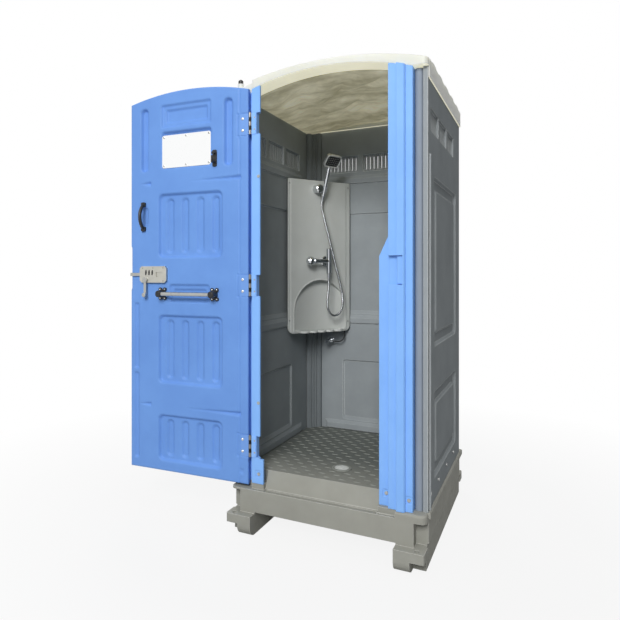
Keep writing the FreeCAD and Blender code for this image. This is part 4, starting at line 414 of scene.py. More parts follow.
class Finish(Enum):
    """The cabin's finishes."""

    # Blue polyethylene: an even, slightly milky blue, with a painted highlight along moulded edges
    BLUE = MouldedPlastic("blue_moulded_polyethylene", "#8ABCFC", "#84B6F8", "#A6CBFE", edge_tone_and_highlight_share=0.35)
    # The door's sheet: the jambs' blue, made a shade darker, with a painted highlight along its edges
    DOOR_BLUE = MouldedPlastic("deep_blue_moulded_door", "#709DE1", "#6A96DB", "#90B8F4", edge_tone_and_highlight_share=0.35)
    # Grey polyethylene, scuffed underfoot: duller than the walls, its deck darker as wear and as painted
    # shade that deepens towards the back, with a painted highlight on its edges
    BASE = MouldedPlastic("grey_moulded_base", "#A1A199", "#97978F", "#E0E0DA", roughness=0.65,
                          specular=0.08, peel_mm=4.0, peel_depth_mm=0.25, edge_tone_and_highlight_share=0.9,
                          trodden_and_shade="#6E726E", trodden_and_shade_above=0.3045)
    # The floor's dashes: the same grey, paler than the darkened deck round them
    DASH = MouldedPlastic("pale_grey_dash", "#969992", "#8E918A", "#AEB1AB", roughness=0.5)
    # Slate grey polyethylene: a soft satin that takes its tone from the light that falls on it, with a pale
    # painted highlight along its edges
    WALL = MouldedPlastic("slate_moulded_wall", "#9FA5A8", "#969C9F", "#DDE1E0", roughness=0.6, specular=0.0,
                          round_mm=8.0, edge_tone_and_highlight_share=0.85, edge_turn=0.9)
    # The back corner posts: the walls' slate, made darker all over: painted shade for their flutes
    CORNER = MouldedPlastic("slate_fluted_post", "#878D90", "#7F8588", "#A9AEAF", roughness=0.6,
                            specular=0.0)
    # The front posts: the same plastic in lavender grey
    POST = MouldedPlastic("lavender_grey_post", "#929CA9", "#8B95A2", "#AEB6C2", specular=0.1)
    # Pressed pale plastic: smoother than the walls, so it carries soft highlights, and a pale painted
    # highlight along its edges
    PANEL = MouldedPlastic("pale_grey_shower_panel", "#CCCFCB", "#C5C8C4", "#F0F2EE", roughness=0.38,
                           specular=0.35, round_mm=9.0, edge_tone_and_highlight_share=0.8)
    # Milk-white polyethylene: light soaks into it, and a warm painted glow lights it underneath
    ROOF = MouldedPlastic("translucent_white_roof_painted_glow", "#E6E7DF", "#DFE0D6", "#EEEFE8", roughness=0.45,
                          glow=0.5, painted_glow_strength=0.66)
    # The crumpled skin under the roof: a painted glow, with painted light and shade in bright and dull
    # patches drawn out sideways
    CEILING = MouldedPlastic("roof_underside_painted_light", "#F4F1DE", "#B6B29A", "#F4F1DE", roughness=0.5,
                             mottle_mm=110.0, stretch=(0.4, 1.3, 1.0), glow=0.3, painted_glow_strength=0.25)
    # Nylon mouldings: near black, with a dull painted sheen on their edges
    BLACK = MouldedPlastic("black_nylon", "#161616", "#101010", "#3A3A3A", roughness=0.4, specular=0.5,
                           peel_mm=2.0, round_mm=1.5)
    # Grey spray face: a pale rim that rounds off to a dark field
    SPRAY = MouldedPlastic("grey_rimmed_spray_face", "#2C2D2D", "#222323", "#B9BBBB", roughness=0.45,
                           peel_mm=2.0, round_mm=6.0, edge_tone_and_highlight_share=1.0)
    # Rubber: a soft dark grey with little shine, and a faint painted sheen on its edges
    RUBBER = MouldedPlastic("dark_rubber_hose", "#2A2B2C", "#222324", "#454748", roughness=0.55, peel_mm=2.0,
                            round_mm=0.5)
    # Painted steel leaves: the jambs' blue with silver knuckles, and the door's blue with knuckles painted
    # dark as shade
    HINGE_JAMB = PaintedHinge("blue_hinge_leaf_silver_knuckles", "#8ABCFC", "#8A847E")
    HINGE_DOOR = PaintedHinge("blue_hinge_leaf_painted_shade_knuckles", "#709DE1", "#2E2A28")
    # Woven screen: a grey haze over the light in the vents
    SCREEN = FlyScreen("fine_fly_screen", "#5A5C58", 0.55)
    # Chrome plate: mirror bright, so it shows the white studio and the cabin's darker inside
    CHROME = Metal("polished_chrome", "#D4D7DA", 0.09)
    # Satin chrome plate: the same metal with a soft grain, so it holds a broad pale sheen
    SATIN = Metal("satin_chrome", "#E2E4E6", 0.3)
    # Stainless steel, brushed along its length: a grey streaked sheen
    STEEL = Metal("brushed_stainless_steel", "#B4B5B2", 0.32, (1.0, 0.0, 0.0))
    # Stamped sheet steel: the same streaks, paler and duller
    DULL_STEEL = Metal("dull_stamped_steel", "#BDBCB4", 0.45, (1.0, 0.0, 0.0))
    # Hinge steel: darker, streaked upright
    DARK_STEEL = Metal("dull_hinge_steel", "#8A8580", 0.38, (0.0, 0.0, 1.0))
    # Mirror plate: a clean reflection with hardly a trace of grain
    MIRROR = Metal("mirror_plate", "#FBFCFC", 0.05, dulled=0.98, grain_mm=0.002)
    # Chromed spiral: each rib carries its own thin highlight
    HOSE = Metal("chromed_spiral_hose", "#B9BBBD", 0.2)

    @property
    def material(self) -> bpy.types.Material:
        """The finish's material, made once."""
        return made_once(self)


@lru_cache(maxsize=None)
def made_once(finish: Finish) -> bpy.types.Material:
    """Builds a finish's material the first time that it is asked for."""
    return finish.value.material()


def dress(finishes: dict[str, Finish]) -> None:
    """Gives CAD nodes their finishes.

    Args:
        finishes: The finish of each node, by its name.
    """
    for node, finish in finishes.items():
        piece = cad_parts[node]
        if not piece.material_slots:
            piece.data.materials.append(None)
        for place in piece.material_slots:
            place.material = finish.material
        LOG.info("%s wears %s", node, finish.value.name)


# Meshes and geometry trees

def mesh_object(name: str, points: Sequence[Point], edges: Sequence[tuple[int, int]] = (),
                faces: Sequence[tuple[int, ...]] = (), finish: Finish | None = None) -> bpy.types.Object:
    """Makes a mesh from its points and puts it into the scene.

    Args:
        name: The object's name.
        points: Its points, in metres.
        edges: Its loose edges.
        faces: Its faces.
        finish: Its finish, if it has one.

    Returns:
        The new object.
    """
    mesh = bpy.data.meshes.new(name)
    mesh.from_pydata(points, edges, faces)
    if finish:
        mesh.materials.append(finish.material)
    return new_object(name, mesh)


def grid_faces(rows: int, columns: int) -> list[tuple[int, int, int, int]]:
    """Lists the faces of a grid of points that is given row by row.

    Args:
        rows: How many rows of points.
        columns: How many points in a row.

    Returns:
        The faces.
    """
    starts = [j * columns + i for j in range(rows - 1) for i in range(columns - 1)]
    return [(k, k + columns, k + columns + 1, k + 1) for k in starts]


def grow(carrier: bpy.types.Object, tree: bpy.types.NodeTree, values: dict[str, Any], name: str
         ) -> bpy.types.Object:
    """Runs a geometry tree on an object and keeps the result as a plain mesh.

    Args:
        carrier: The points or line that the tree starts from, used up here.
        tree: The geometry tree.
        values: Its inputs, by their names.
        name: The new piece's name.

    Returns:
        The new piece.
    """
    modifier = carrier.modifiers.new("grow", "NODES")
    modifier.node_group = tree
    for item in tree.interface.items_tree:
        if item.in_out == "INPUT" and item.name in values:
            modifier[item.identifier] = values[item.name]
    graph = bpy.context.evaluated_depsgraph_get()
    mesh = bpy.data.meshes.new_from_object(carrier.evaluated_get(graph))
    carrier.modifiers.remove(modifier)
    bpy.data.objects.remove(carrier)
    mesh.name = name
    return new_object(name, mesh)


def start_tree(name: str, inputs: dict[str, str]) -> tuple[bpy.types.NodeTree, bpy.types.Node]:
    """Starts a geometry tree with a geometry input and named inputs.

    Args:
        name: The tree's name.
        inputs: Socket types by input name.

    Returns:
        The tree and its input node.
    """
    tree = bpy.data.node_groups.new(name, "GeometryNodeTree")
    tree.interface.new_socket("Geometry", in_out="INPUT", socket_type="NodeSocketGeometry")
    for label, kind in inputs.items():
        tree.interface.new_socket(label, in_out="INPUT", socket_type="NodeSocket" + kind)
    tree.interface.new_socket("Geometry", in_out="OUTPUT", socket_type="NodeSocketGeometry")
    return tree, add_node(tree, "NodeGroupInput")


def end_tree(tree: bpy.types.NodeTree, result: bpy.types.NodeSocket, material: bpy.types.NodeSocket) -> None:
    """Ends a geometry tree: instances made real, shaded smooth and given their material.

    Args:
        tree: The tree.
        result: The geometry so far.
        material: The input that holds the material.
    """
    real = add_node(tree, "GeometryNodeRealizeInstances", {"Geometry": result})
    smooth = add_node(tree, "GeometryNodeSetShadeSmooth", {"Geometry": real.outputs[0]})
    painted = add_node(tree, "GeometryNodeSetMaterial",
                       {"Geometry": smooth.outputs[0], "Material": material})
    add_node(tree, "NodeGroupOutput", {0: painted.outputs[0]})


@lru_cache(maxsize=None)
def studs_tree() -> bpy.types.NodeTree:
    """Sets a domed stud on each point, along an axis: rivets, screw heads, nozzles and floor dashes.

    Returns:
        The geometry tree.
    """
    tree, given = start_tree("studs", {"Size": "Vector", "Axis": "Vector", "Material": "Material"})
    dome = add_node(tree, "GeometryNodeMeshUVSphere",
                    {"Segments": STUD_SEGMENTS, "Rings": STUD_RINGS, "Radius": 1.0})
    turn = add_node(tree, "FunctionNodeAlignRotationToVector", {"Vector": given.outputs["Axis"]}, axis="Z")
    studs = add_node(tree, "GeometryNodeInstanceOnPoints",
                     {"Points": given.outputs["Geometry"], "Instance": dome.outputs["Mesh"],
                      "Rotation": turn.outputs[0], "Scale": given.outputs["Size"]})
    end_tree(tree, studs.outputs[0], given.outputs["Material"])
    return tree


@lru_cache(maxsize=None)
def ribbed_tube_tree() -> bpy.types.NodeTree:
    """Draws a round hose along a line, with a rib at each pitch.

    Returns:
        The geometry tree.
    """
    tree, given = start_tree("ribbed_tube", {"Radius": "Float", "Pitch": "Float", "Depth": "Float",
                                             "Material": "Material"})
    line = add_node(tree, "GeometryNodeMeshToCurve", {"Mesh": given.outputs["Geometry"]})
    step = add_node(tree, "ShaderNodeMath", {0: given.outputs["Pitch"], 1: STEPS_PER_RIB},
                    operation="DIVIDE")
    even = add_node(tree, "GeometryNodeResampleCurve",
                    {"Curve": line.outputs[0], "Length": step.outputs[0]}, mode="LENGTH")
    far = add_node(tree, "GeometryNodeSplineParameter")
    turns = add_node(tree, "ShaderNodeMath", {0: far.outputs["Length"], 1: given.outputs["Pitch"]},
                     operation="DIVIDE")
    angle = add_node(tree, "ShaderNodeMath", {0: turns.outputs[0], 1: 2 * math.pi}, operation="MULTIPLY")
    wave = add_node(tree, "ShaderNodeMath", {0: angle.outputs[0]}, operation="COSINE")
    swell = add_node(tree, "ShaderNodeMath", {0: wave.outputs[0], 1: given.outputs["Depth"], 2: 1.0},
                     operation="MULTIPLY_ADD")
    ring = add_node(tree, "GeometryNodeCurvePrimitiveCircle",
                    {"Resolution": TUBE_SIDES, "Radius": given.outputs["Radius"]})
    tube = add_node(tree, "GeometryNodeCurveToMesh",
                    {"Curve": even.outputs[0], "Profile Curve": ring.outputs["Curve"],
                     "Scale": swell.outputs[0], "Fill Caps": True})
    end_tree(tree, tube.outputs[0], given.outputs["Material"])
    return tree


def studs(name: str, points: list[Point], size: Point, axis: Point, finish: Finish) -> bpy.types.Object:
    """Sets a domed stud on each point.

    Args:
        name: The new piece's name.
        points: Where the studs stand, in metres.
        size: Half their size across, along and up the axis, in metres.
        axis: The way that they stand.
        finish: Their finish.

    Returns:
        The new piece.
    """
    values = {"Size": size, "Axis": axis, "Material": finish.material}
    return grow(mesh_object(name + "_points", points), studs_tree(), values, name)


# Frames of the door and the shower panel

@dataclass(frozen=True)
class TurnedFrame:
    """A turned frame on the plan: along it, out of it and up."""

    x: float
    y: float
    degrees: float
    out_sign: float

    def point(self, along: float, out: float, up: float) -> Point:
        """Gives the world point for a place in this frame, in metres."""
        return tuple(Vector((self.x, self.y, 0)) + Vector(self.direction(along, out, up)))

    def direction(self, along: float, out: float, up: float) -> Point:
        """Gives the world direction for one in this frame."""
        turn = Matrix.Rotation(math.radians(self.degrees), 3, "Z")
        return tuple(turn @ Vector((along, out * self.out_sign, up)))

    def points(self, along: np.ndarray, out: np.ndarray, up: np.ndarray) -> list[Point]:
        """Gives the world points for whole grids of places in this frame, row by row.

        Args:
            along: Places along the frame.
            out: How far out each stands.
            up: Their heights.

        Returns:
            The points.
        """
        turn = math.radians(self.degrees)
        x = self.x + along * math.cos(turn) - out * self.out_sign * math.sin(turn)
        y = self.y + along * math.sin(turn) + out * self.out_sign * math.cos(turn)
        return np.stack([x.ravel(), y.ravel(), up.ravel()], axis=1).tolist()


DOOR = TurnedFrame(*HINGE_PIN, -177.0, 1.0)
PANEL = TurnedFrame(-0.436, 0.045, 56.6, -1.0)


# Sub-assemblies

@dataclass
class SkidBase:
    """The skid base with its floor and drain."""

    # Left, front, right and back edge of the dashed floor
    deck: tuple[float, float, float, float] = (-0.405, -0.425, 0.405, 0.415)
    floor_top: float = 0.306
    # Half of a dash's size, and the distance from dash to dash and from row to row
    dash: Point = (0.021, 0.004, 0.0026)
    pitch: Pair = (0.078, 0.044)
    drain: Pair = (0.012, -0.270)
    drain_clear: float = 0.068
    # The drain's steel grate wears the pale panel plastic: its paleness is a painted highlight
    finishes: ClassVar[dict[str, Finish]] = {"base": Finish.BASE, "drain_ring": Finish.DASH,
                                             "drain_grate": Finish.PANEL}

    def dashes(self) -> bpy.types.Object:
        """Raises staggered anti-slip dashes on the floor.

        Returns:
            The piece that holds them.
        """
        left, front, right, back = self.deck
        across, along = self.pitch
        spots = []
        for row in range(int((back - front) / along) + 1):
            y = front + row * along
            x = left + (across / 2 if row % 2 else 0.0)
            while x <= right:
                if math.dist((x, y), self.drain) > self.drain_clear:
                    spots.append((x, y, self.floor_top))
                x += across
        return studs("floor_dashes", spots, self.dash, (0, 0, 1), Finish.DASH)

    def build(self) -> None:
        """Dresses the base and makes its floor dashes."""
        dress(self.finishes)
        finish_piece(self.dashes(), "cabin")


@dataclass
class Shell:
    """Walls, posts, the bolts at the walls' feet and the screens in the vents."""

    vent_low: float = 1.966
    vent_high: float = 2.070
    screen_deep: float = 0.470
    screen_half: float = 0.400
    finishes: ClassVar[dict[str, Finish]] = {
        "wall_left": Finish.WALL, "wall_right": Finish.WALL, "wall_back": Finish.WALL,
        "post_front_left": Finish.POST, "post_front_right": Finish.POST, "post_back_left": Finish.CORNER,
        "post_back_right": Finish.CORNER, "wall_bolts": Finish.STEEL}

    def screens(self) -> bpy.types.Object:
        """Hangs a fly screen in the slots of each wall's vents.

        Returns:
            The piece that holds the screens.
        """
        deep, half = self.screen_deep, self.screen_half
        plans = [((-half, deep), (half, deep)), ((deep, -half), (deep, half)),
                 ((-deep, half), (-deep, -half))]
        points = [(*end, z) for ends in plans for end in ends for z in (self.vent_low, self.vent_high)]
        faces = [(k, k + 2, k + 3, k + 1) for k in range(0, len(points), 4)]
        return mesh_object("vent_screens", points, faces=faces, finish=Finish.SCREEN)

    def build(self) -> None:
        """Dresses the walls and posts and hangs the fly screens."""
        dress(self.finishes)
        finish_piece(self.screens(), "cabin")


@dataclass
class DoorFrame:
    """The blue jambs, the strike plate and the hinges."""

    levels: tuple[str, ...] = ("low", "mid", "high")
    finishes: ClassVar[dict[str, Finish]] = {
        "jamb_left": Finish.BLUE, "jamb_right": Finish.BLUE, "strike_plate": Finish.BLUE,
        "jamb_bolts": Finish.STEEL, "hinge_jamb_screws": Finish.STEEL, "hinge_door_screws": Finish.STEEL}
    hinge_finishes: ClassVar[dict[str, Finish]] = {
        "jamb_leaf": Finish.HINGE_JAMB, "door_leaf": Finish.HINGE_DOOR, "pin": Finish.DARK_STEEL}

    def build(self) -> None:
        """Dresses the frame and its hinges."""
        dress(self.finishes)
        for level in self.levels:
            dress({f"hinge_{level}_{part}": finish for part, finish in self.hinge_finishes.items()})


@dataclass
class Roof:
    """The translucent roof, its crumpled ceiling and its cap."""

    half: float = 0.444
    front: float = -0.408
    back: float = 0.432
    spring: float = 2.239
    crown_front: float = 2.315
    crown_back: float = 2.278
    # The folds: how deep, how wide and long, how far drawn askew, and the finer ones among them
    fold: float = 0.030
    fold_least: float = 0.2
    fold_gain: float = 1.2
    fold_pitch: Pair = (0.26, 0.13)
    fold_skew: float = 0.8
    fine_scale: float = 2.3
    fine_share: float = 0.5
    fine_shift: Point = (7.0, 3.0, 1.0)
    # How fast the folds fade at the sides, as a power, and at the front and back, as a share of the depth
    side_fade: int = 6
    end_fade: Pair = (0.1, 0.05)
    # How far the skin hangs below its front edge
    lip: float = 0.012
    columns: int = 120
    rows: int = 150
    finishes: ClassVar[dict[str, Finish]] = {"roof": Finish.ROOF, "roof_cap": Finish.BLACK}

    def height(self, x: float, y: float) -> float:
        """Gives the ceiling's height at a place on the plan.

        Args:
            x: Across the cabin, in metres.
            y: Towards the back, in metres.

        Returns:
            The height, in metres.
        """
        share = (y - self.front) / (self.back - self.front)
        crown = self.crown_front + (self.crown_back - self.crown_front) * share
        rise = crown - self.spring
        radius = (self.half ** 2 + rise ** 2) / (2 * rise)
        arch = crown - radius + math.sqrt(radius ** 2 - x ** 2)
        ends = min(1.0, share / self.end_fade[0], (1 - share) / self.end_fade[1])
        fade = (1 - (x / self.half) ** self.side_fade) * ends
        wide, deep = self.fold_pitch
        spot = Vector((x / wide, y / deep + self.fold_skew * x / wide, 0.0))
        fine = abs(noise.noise(self.fine_scale * spot + Vector(self.fine_shift)))
        crease = abs(noise.noise(spot)) + self.fine_share * fine
        return arch - self.fold * fade * (self.fold_least + self.fold_gain * crease)

    def ceiling(self) -> bpy.types.Object:
        """Makes the crumpled underside of the roof as a thin skin.

        Returns:
            The piece.
        """
        points = []
        for j in range(self.rows + 1):
            y = self.front + (self.back - self.front) * j / self.rows
            for i in range(self.columns + 1):
                x = self.half * (2 * i / self.columns - 1)
                points.append((x, y, self.height(x, y) - (self.lip if j else 0.0)))
        skin = mesh_object("roof_ceiling", points, faces=grid_faces(self.rows + 1, self.columns + 1),
                           finish=Finish.CEILING)
        skin.data.shade_smooth()
        return skin

    def build(self) -> None:
        """Dresses the roof and hangs its ceiling."""
        dress(self.finishes)
        finish_piece(self.ceiling(), "cabin")


@dataclass(frozen=True)
class Hollow:
    """A sunk form in a moulded face: a rounded box whose walls slope in to its floor, all in metres."""

    near: float
    low: float
    far: float
    high: float
    deep: float
    slope: float
    corner: float

    def depth(self, along: np.ndarray, up: np.ndarray) -> np.ndarray:
        """Gives how deep the face is sunk at each place.

        Args:
            along: Places along the face.
            up: Their heights.

        Returns:
            The depths.
        """
        across = np.abs(along - (self.near + self.far) / 2) - (self.far - self.near) / 2 + self.corner
        rise = np.abs(up - (self.low + self.high) / 2) - (self.high - self.low) / 2 + self.corner
        outside = np.hypot(np.maximum(across, 0), np.maximum(rise, 0))
        away = outside + np.minimum(np.maximum(across, rise), 0) - self.corner
        share = np.clip(-away / self.slope, 0, 1)
        return self.deep * share * share * (3 - 2 * share)


@dataclass(frozen=True)
class Dart:
    """A sunk wedge that starts as a point and widens to its root, all in metres."""

    tip: float
    root: float
    level: float
    tall: float = 0.026
    deep: float = 0.014

    def depth(self, along: np.ndarray, up: np.ndarray) -> np.ndarray:
        """Gives how deep the face is sunk at each place.

        Args:
            along: Places along the face.
            up: Their heights.

        Returns:
            The depths.
        """
        run = (along - self.tip) / (self.root - self.tip)
        half = self.tall / 2 * np.where(run > 1, 0, np.clip(run, 0, 1))
        return self.deep * np.clip(2 * (half - np.abs(up - self.level)) / self.tall, 0, 1)


@dataclass
class DoorMoulding:
    """The blow-moulded door leaf: both faces with their sloping hollows, and the rim between them."""

    near: float = 0.010
    far: float = 0.736
    low: float = 0.237
    # The arched top, at its corners and in its middle
    corner: float = 2.258
    crown: float = 2.304
    thick: float = 0.031
    edge_radius: float = 0.006
    edge_lines: tuple[float, ...] = (0.0, 0.12, 0.45)
    step: float = 0.005
    # The latch side steps back here: from this height, to that, and by how much
    notch: Point = (1.221, 1.468, 0.005)
    notch_ease: float = 0.012
    notch_reach: float = 0.04
    hollows: tuple[Hollow, ...] = (
        # A tall slot on each side of the mirror
        Hollow(0.097, 1.872, 0.153, 2.230, 0.020, 0.014, 0.028),
        Hollow(0.618, 1.872, 0.672, 2.230, 0.020, 0.014, 0.027),
        # The stepped panel over the mirror, and the trough between them
        Hollow(0.226, 2.108, 0.538, 2.236, 0.011, 0.010, 0.012),
        Hollow(0.252, 2.132, 0.512, 2.210, 0.010, 0.009, 0.010),
        Hollow(0.222, 2.046, 0.536, 2.090, 0.016, 0.014, 0.016),
        # The mirror's bed
        Hollow(0.221, 1.882, 0.536, 2.073, 0.0034, 0.005, 0.014),
        # A round-ended hollow on the latch side
        Hollow(0.618, 1.568, 0.678, 1.688, 0.013, 0.016, 0.030),
        # The stepped panel behind the grab bar
        Hollow(0.232, 1.156, 0.488, 1.258, 0.011, 0.011, 0.020),
        Hollow(0.258, 1.182, 0.462, 1.232, 0.009, 0.010, 0.012),
        # A dimple that clears a bolt of the jamb when the door is shut
        Hollow(0.033, 0.286, 0.061, 0.314, 0.004, 0.004, 0.012),
        # Two narrow slots on the latch stile
        Hollow(0.678, 0.284, 0.716, 0.767, 0.009, 0.013, 0.012),
        Hollow(0.678, 0.783, 0.716, 1.154, 0.009, 0.013, 0.012))
    # The grooved fields: their lower and upper edges, and their sides
    fields: tuple[Pair, ...] = ((1.397, 1.752), (0.712, 1.090), (0.288, 0.545))
    field_sides: Pair = (0.157, 0.557)
    # Depth, slope and corner of the fields, the stile's line and the hinge leaves' beds
    field_cut: Point = (0.017, 0.015, 0.032)
    line_cut: Point = (0.005, 0.005, 0.001)
    bed_cut: Point = (0.0032, 0.004, 0.002)
    grooves: int = 4
    groove_first: float = 0.205
    groove_pitch: float = 0.0937
    groove_half: float = 0.025
    groove_inset: float = 0.026
    groove_cut: Pair = (0.008, 0.009)
    dart_levels: Pair = (1.810, 0.592)
    # The tip and the root of the two wedges at each level
    dart_spans: tuple[Pair, ...] = ((0.386, 0.055), (0.680, 0.606))
    # The hinges' heights, the pads that the stile's line leaves round them, and the leaves' beds
    hinges: tuple[float, ...] = (0.435, 1.253, 2.077)
    pad_half: float = 0.062
    pad_edge: float = 0.066
    bed_half: float = 0.059
    bed_far: float = 0.056
    stile: float = 0.055
    overlap: float = 0.001
    line: float = 0.010
    # The outer face's two wide panels
    back_hollows: tuple[Hollow, ...] = (Hollow(0.080, 0.307, 0.666, 1.121, 0.005, 0.014, 0.014),
                                        Hollow(0.080, 1.298, 0.666, 2.188, 0.005, 0.014, 0.014))

    def front_forms(self) -> list[Hollow | Dart]:
        """Lists all that is sunk into the inner face.

        Returns:
            The hollows, grooved fields, wedges and lines.
        """
        forms = list(self.hollows)
        near, far = self.field_sides
        for low, high in self.fields:
            forms.append(Hollow(near, low, far, high, *self.field_cut))
            for i in range(self.grooves):
                middle = self.groove_first + i * self.groove_pitch
                forms.append(Hollow(middle - self.groove_half, low + self.groove_inset,
                                    middle + self.groove_half, high - self.groove_inset,
                                    *self.groove_cut, self.groove_half))
        forms += [Dart(*span, level) for level in self.dart_levels for span in self.dart_spans]
        return forms + self.stile_lines()

    def stile_lines(self) -> list[Hollow]:
        """Lists the line along the hinge stile, which steps out round each hinge, and the leaves' beds.

        Returns:
            The lines and beds.
        """
        boxes = []
        start, across = self.low - self.line, self.pad_edge + self.line
        for level in self.hinges:
            low, high = level - self.pad_half, level + self.pad_half
            boxes += [(self.stile - self.overlap, start, self.stile + self.line, low),
                      (self.pad_edge, low, across, high), (self.stile, low, across, low + self.line),
                      (self.stile, high - self.line, across, high)]
            start = high
        boxes.append((self.stile - self.overlap, start, self.stile + self.line, self.crown))
        beds = [(-self.near, level - self.bed_half, self.bed_far, level + self.bed_half)
                for level in self.hinges]
        return [Hollow(*box, *self.line_cut) for box in boxes] + [Hollow(*bed, *self.bed_cut) for bed in beds]

    def lines(self, start: float, end: float) -> np.ndarray:
        """Gives the grid lines between two edges, closer together on the rounded edges.

        Args:
            start: The first edge.
            end: The last edge.

        Returns:
            An odd number of places.
        """
        rim = self.edge_radius * np.array(self.edge_lines)
        inner = 2 * int((end - start) / self.step / 2) + 1
        middle = np.linspace(start + self.edge_radius, end - self.edge_radius, inner)
        return np.concatenate([start + rim, middle, (end - rim)[::-1]])

    def face(self, forms: Sequence[Hollow | Dart]) -> tuple[np.ndarray, np.ndarray, np.ndarray]:
        """Works out a face's grid.

        Args:
            forms: What is sunk into it.

        Returns:
            Places along the face, their heights, and how deep each is sunk.
        """
        share = (self.lines(self.low, self.crown) - self.low) / (self.crown - self.low)
        along, share = np.meshgrid(self.lines(self.near, self.far), share)
        half, rise = (self.far - self.near) / 2, self.crown - self.corner
        radius = (half ** 2 + rise ** 2) / (2 * rise)
        off_middle = along - (self.near + self.far) / 2
        top = self.crown - radius + np.sqrt(radius ** 2 - off_middle ** 2)
        up = self.low + share * (top - self.low)
        edge = np.minimum(np.minimum(along - self.near, self.far - along),
                          np.minimum(up - self.low, top - up))
        lip = np.clip(self.edge_radius - edge, 0, self.edge_radius)
        depth = self.edge_radius - np.sqrt(self.edge_radius ** 2 - lip ** 2)
        depth += sum(form.depth(along, up) for form in forms)
        low, high, deep = self.notch
        cut = np.clip(np.minimum(up - low, high - up) / self.notch_ease, 0, 1)
        along = along - deep * cut * np.clip((along - self.far + self.notch_reach) / self.notch_reach, 0, 1)
        return along, up, depth

    def build(self) -> bpy.types.Object:
        """Makes the leaf as one closed mesh, its outer face on every second line of its inner face.

        Returns:
            The piece.
        """
        along, up, depth = self.face(self.front_forms())
        rows, columns = along.shape
        points = DOOR.points(along, -depth, up)
        faces = grid_faces(rows, columns)
        along, up, depth = (grid[::2, ::2] for grid in self.face(self.back_hollows))
        start = len(points)
        tall, wide = along.shape
        points += DOOR.points(along, depth - self.thick, up)
        faces += [(start + a, start + d, start + c, start + b) for a, b, c, d in grid_faces(tall, wide)]
        rim = [(0, i) for i in range(columns - 1)] + [(j, columns - 1) for j in range(rows - 1)]
        rim += [(rows - 1, i) for i in range(columns - 1, 0, -1)] + [(j, 0) for j in range(rows - 1, 0, -1)]
        fine = [j * columns + i for j, i in rim]
        coarse = [start + j // 2 * wide + i // 2 for j, i in rim]
        for k in range(0, len(rim), 2):
            last = (k + 2) % len(rim)
            faces.append((fine[k], fine[k + 1], fine[last], coarse[last], coarse[k]))
        leaf = mesh_object("moulded_door", points, faces=faces, finish=Finish.DOOR_BLUE)
        leaf.data.shade_smooth()
        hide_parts("door_panel")
        return leaf


@dataclass
class Door:
    """The door panel and all that is fixed to it."""

    # Near, lower, far and upper edge of the latch case on the door, and how far out its face stands
    case: tuple[float, float, float, float] = (0.494, 1.264, 0.667, 1.354)
    case_out: float = 0.016
    rivet: Point = (0.0035, 0.0035, 0.0018)
    rivet_inset: float = 0.010
    # A slot is drawn as a flat black stud: painted shade for the opening
    slot: Point = (0.006, 0.017, 0.0012)
    slot_shares: Point = (0.52, 0.64, 0.76)
    slot_rise: float = 0.010
    hinge_screw: Point = (0.0085, 0.0085, 0.0035)
    screw_along: float = 0.042
    screw_rise: float = 0.030
    bracket_screw: Point = (0.0045, 0.0045, 0.002)
    bar_ends: Pair = (0.202, 0.524)
    bar_high: float = 1.204
    # A bracket's screws, sideways and up from its middle
    lobe: Pair = (0.014, 0.024)
    plate_out: float = 0.009
    finishes: ClassVar[dict[str, Finish]] = {
        "door_mirror": Finish.MIRROR, "mirror_rivets": Finish.STEEL,
        "coat_hook": Finish.BLACK, "pull_handle": Finish.BLACK, "latch_case": Finish.DULL_STEEL,
        "latch_bolt": Finish.STEEL, "latch_lever": Finish.STEEL, "latch_spindle": Finish.STEEL,
        "indicator_disc": Finish.STEEL, "grab_bar": Finish.STEEL, "bar_bracket_near": Finish.BLACK,
        "bar_bracket_far": Finish.BLACK}

    def latch_rivets(self) -> list[Point]:
        """Places rivets round the latch case, clear of the lever's sweep.

        Returns:
            Their places on the door: along it, out of it and up.
        """
        near, low, far, high = self.case
        inset = self.rivet_inset
        places = [(s, self.case_out, z) for s in (near + 2 * inset, far - 2 * inset)
                  for z in (low + inset, high - inset)]
        return places + [((near + far) / 2, self.case_out, high - inset)]

    def latch_slot_shades(self) -> list[Point]:
        """Places three flat black studs in the latch case, as painted shade for its slots."""
        near, low, far, high = self.case
        return [(near + share * (far - near), self.case_out, (low + high) / 2 + self.slot_rise)
                for share in self.slot_shares]

    def hinge_screws(self) -> list[Point]:
        """Places the heads of the screws in the hinges' door leaves."""
        return [(self.screw_along, 0.0, level + rise) for level in DoorMoulding.hinges
                for rise in (-self.screw_rise, self.screw_rise)]

    def bracket_screws(self) -> list[Point]:
        """Places four screws in each bracket of the grab bar."""
        across, up = self.lobe
        return [(end + i * across, self.plate_out, self.bar_high + j * up)
                for end in self.bar_ends for i in (-1, 1) for j in (-1, 1)]

    def build(self) -> None:
        """Dresses the door, moulds its leaf and adds its small fasteners."""
        dress(self.finishes)
        finish_piece(DoorMoulding().build(), "door")
        rows = (("latch_rivets", self.latch_rivets(), self.rivet, Finish.DARK_STEEL, "steel"),
                ("latch_slot_shades", self.latch_slot_shades(), self.slot, Finish.BLACK, "black"),
                ("hinge_screw_heads", self.hinge_screws(), self.hinge_screw, Finish.CHROME, "steel"),
                ("bracket_screws", self.bracket_screws(), self.bracket_screw, Finish.CHROME, "steel"))
        for name, places, size, finish, slot in rows:
            spots = [DOOR.point(*place) for place in places]
            finish_piece(studs(name, spots, size, DOOR.direction(0, 1, 0), finish), "door")


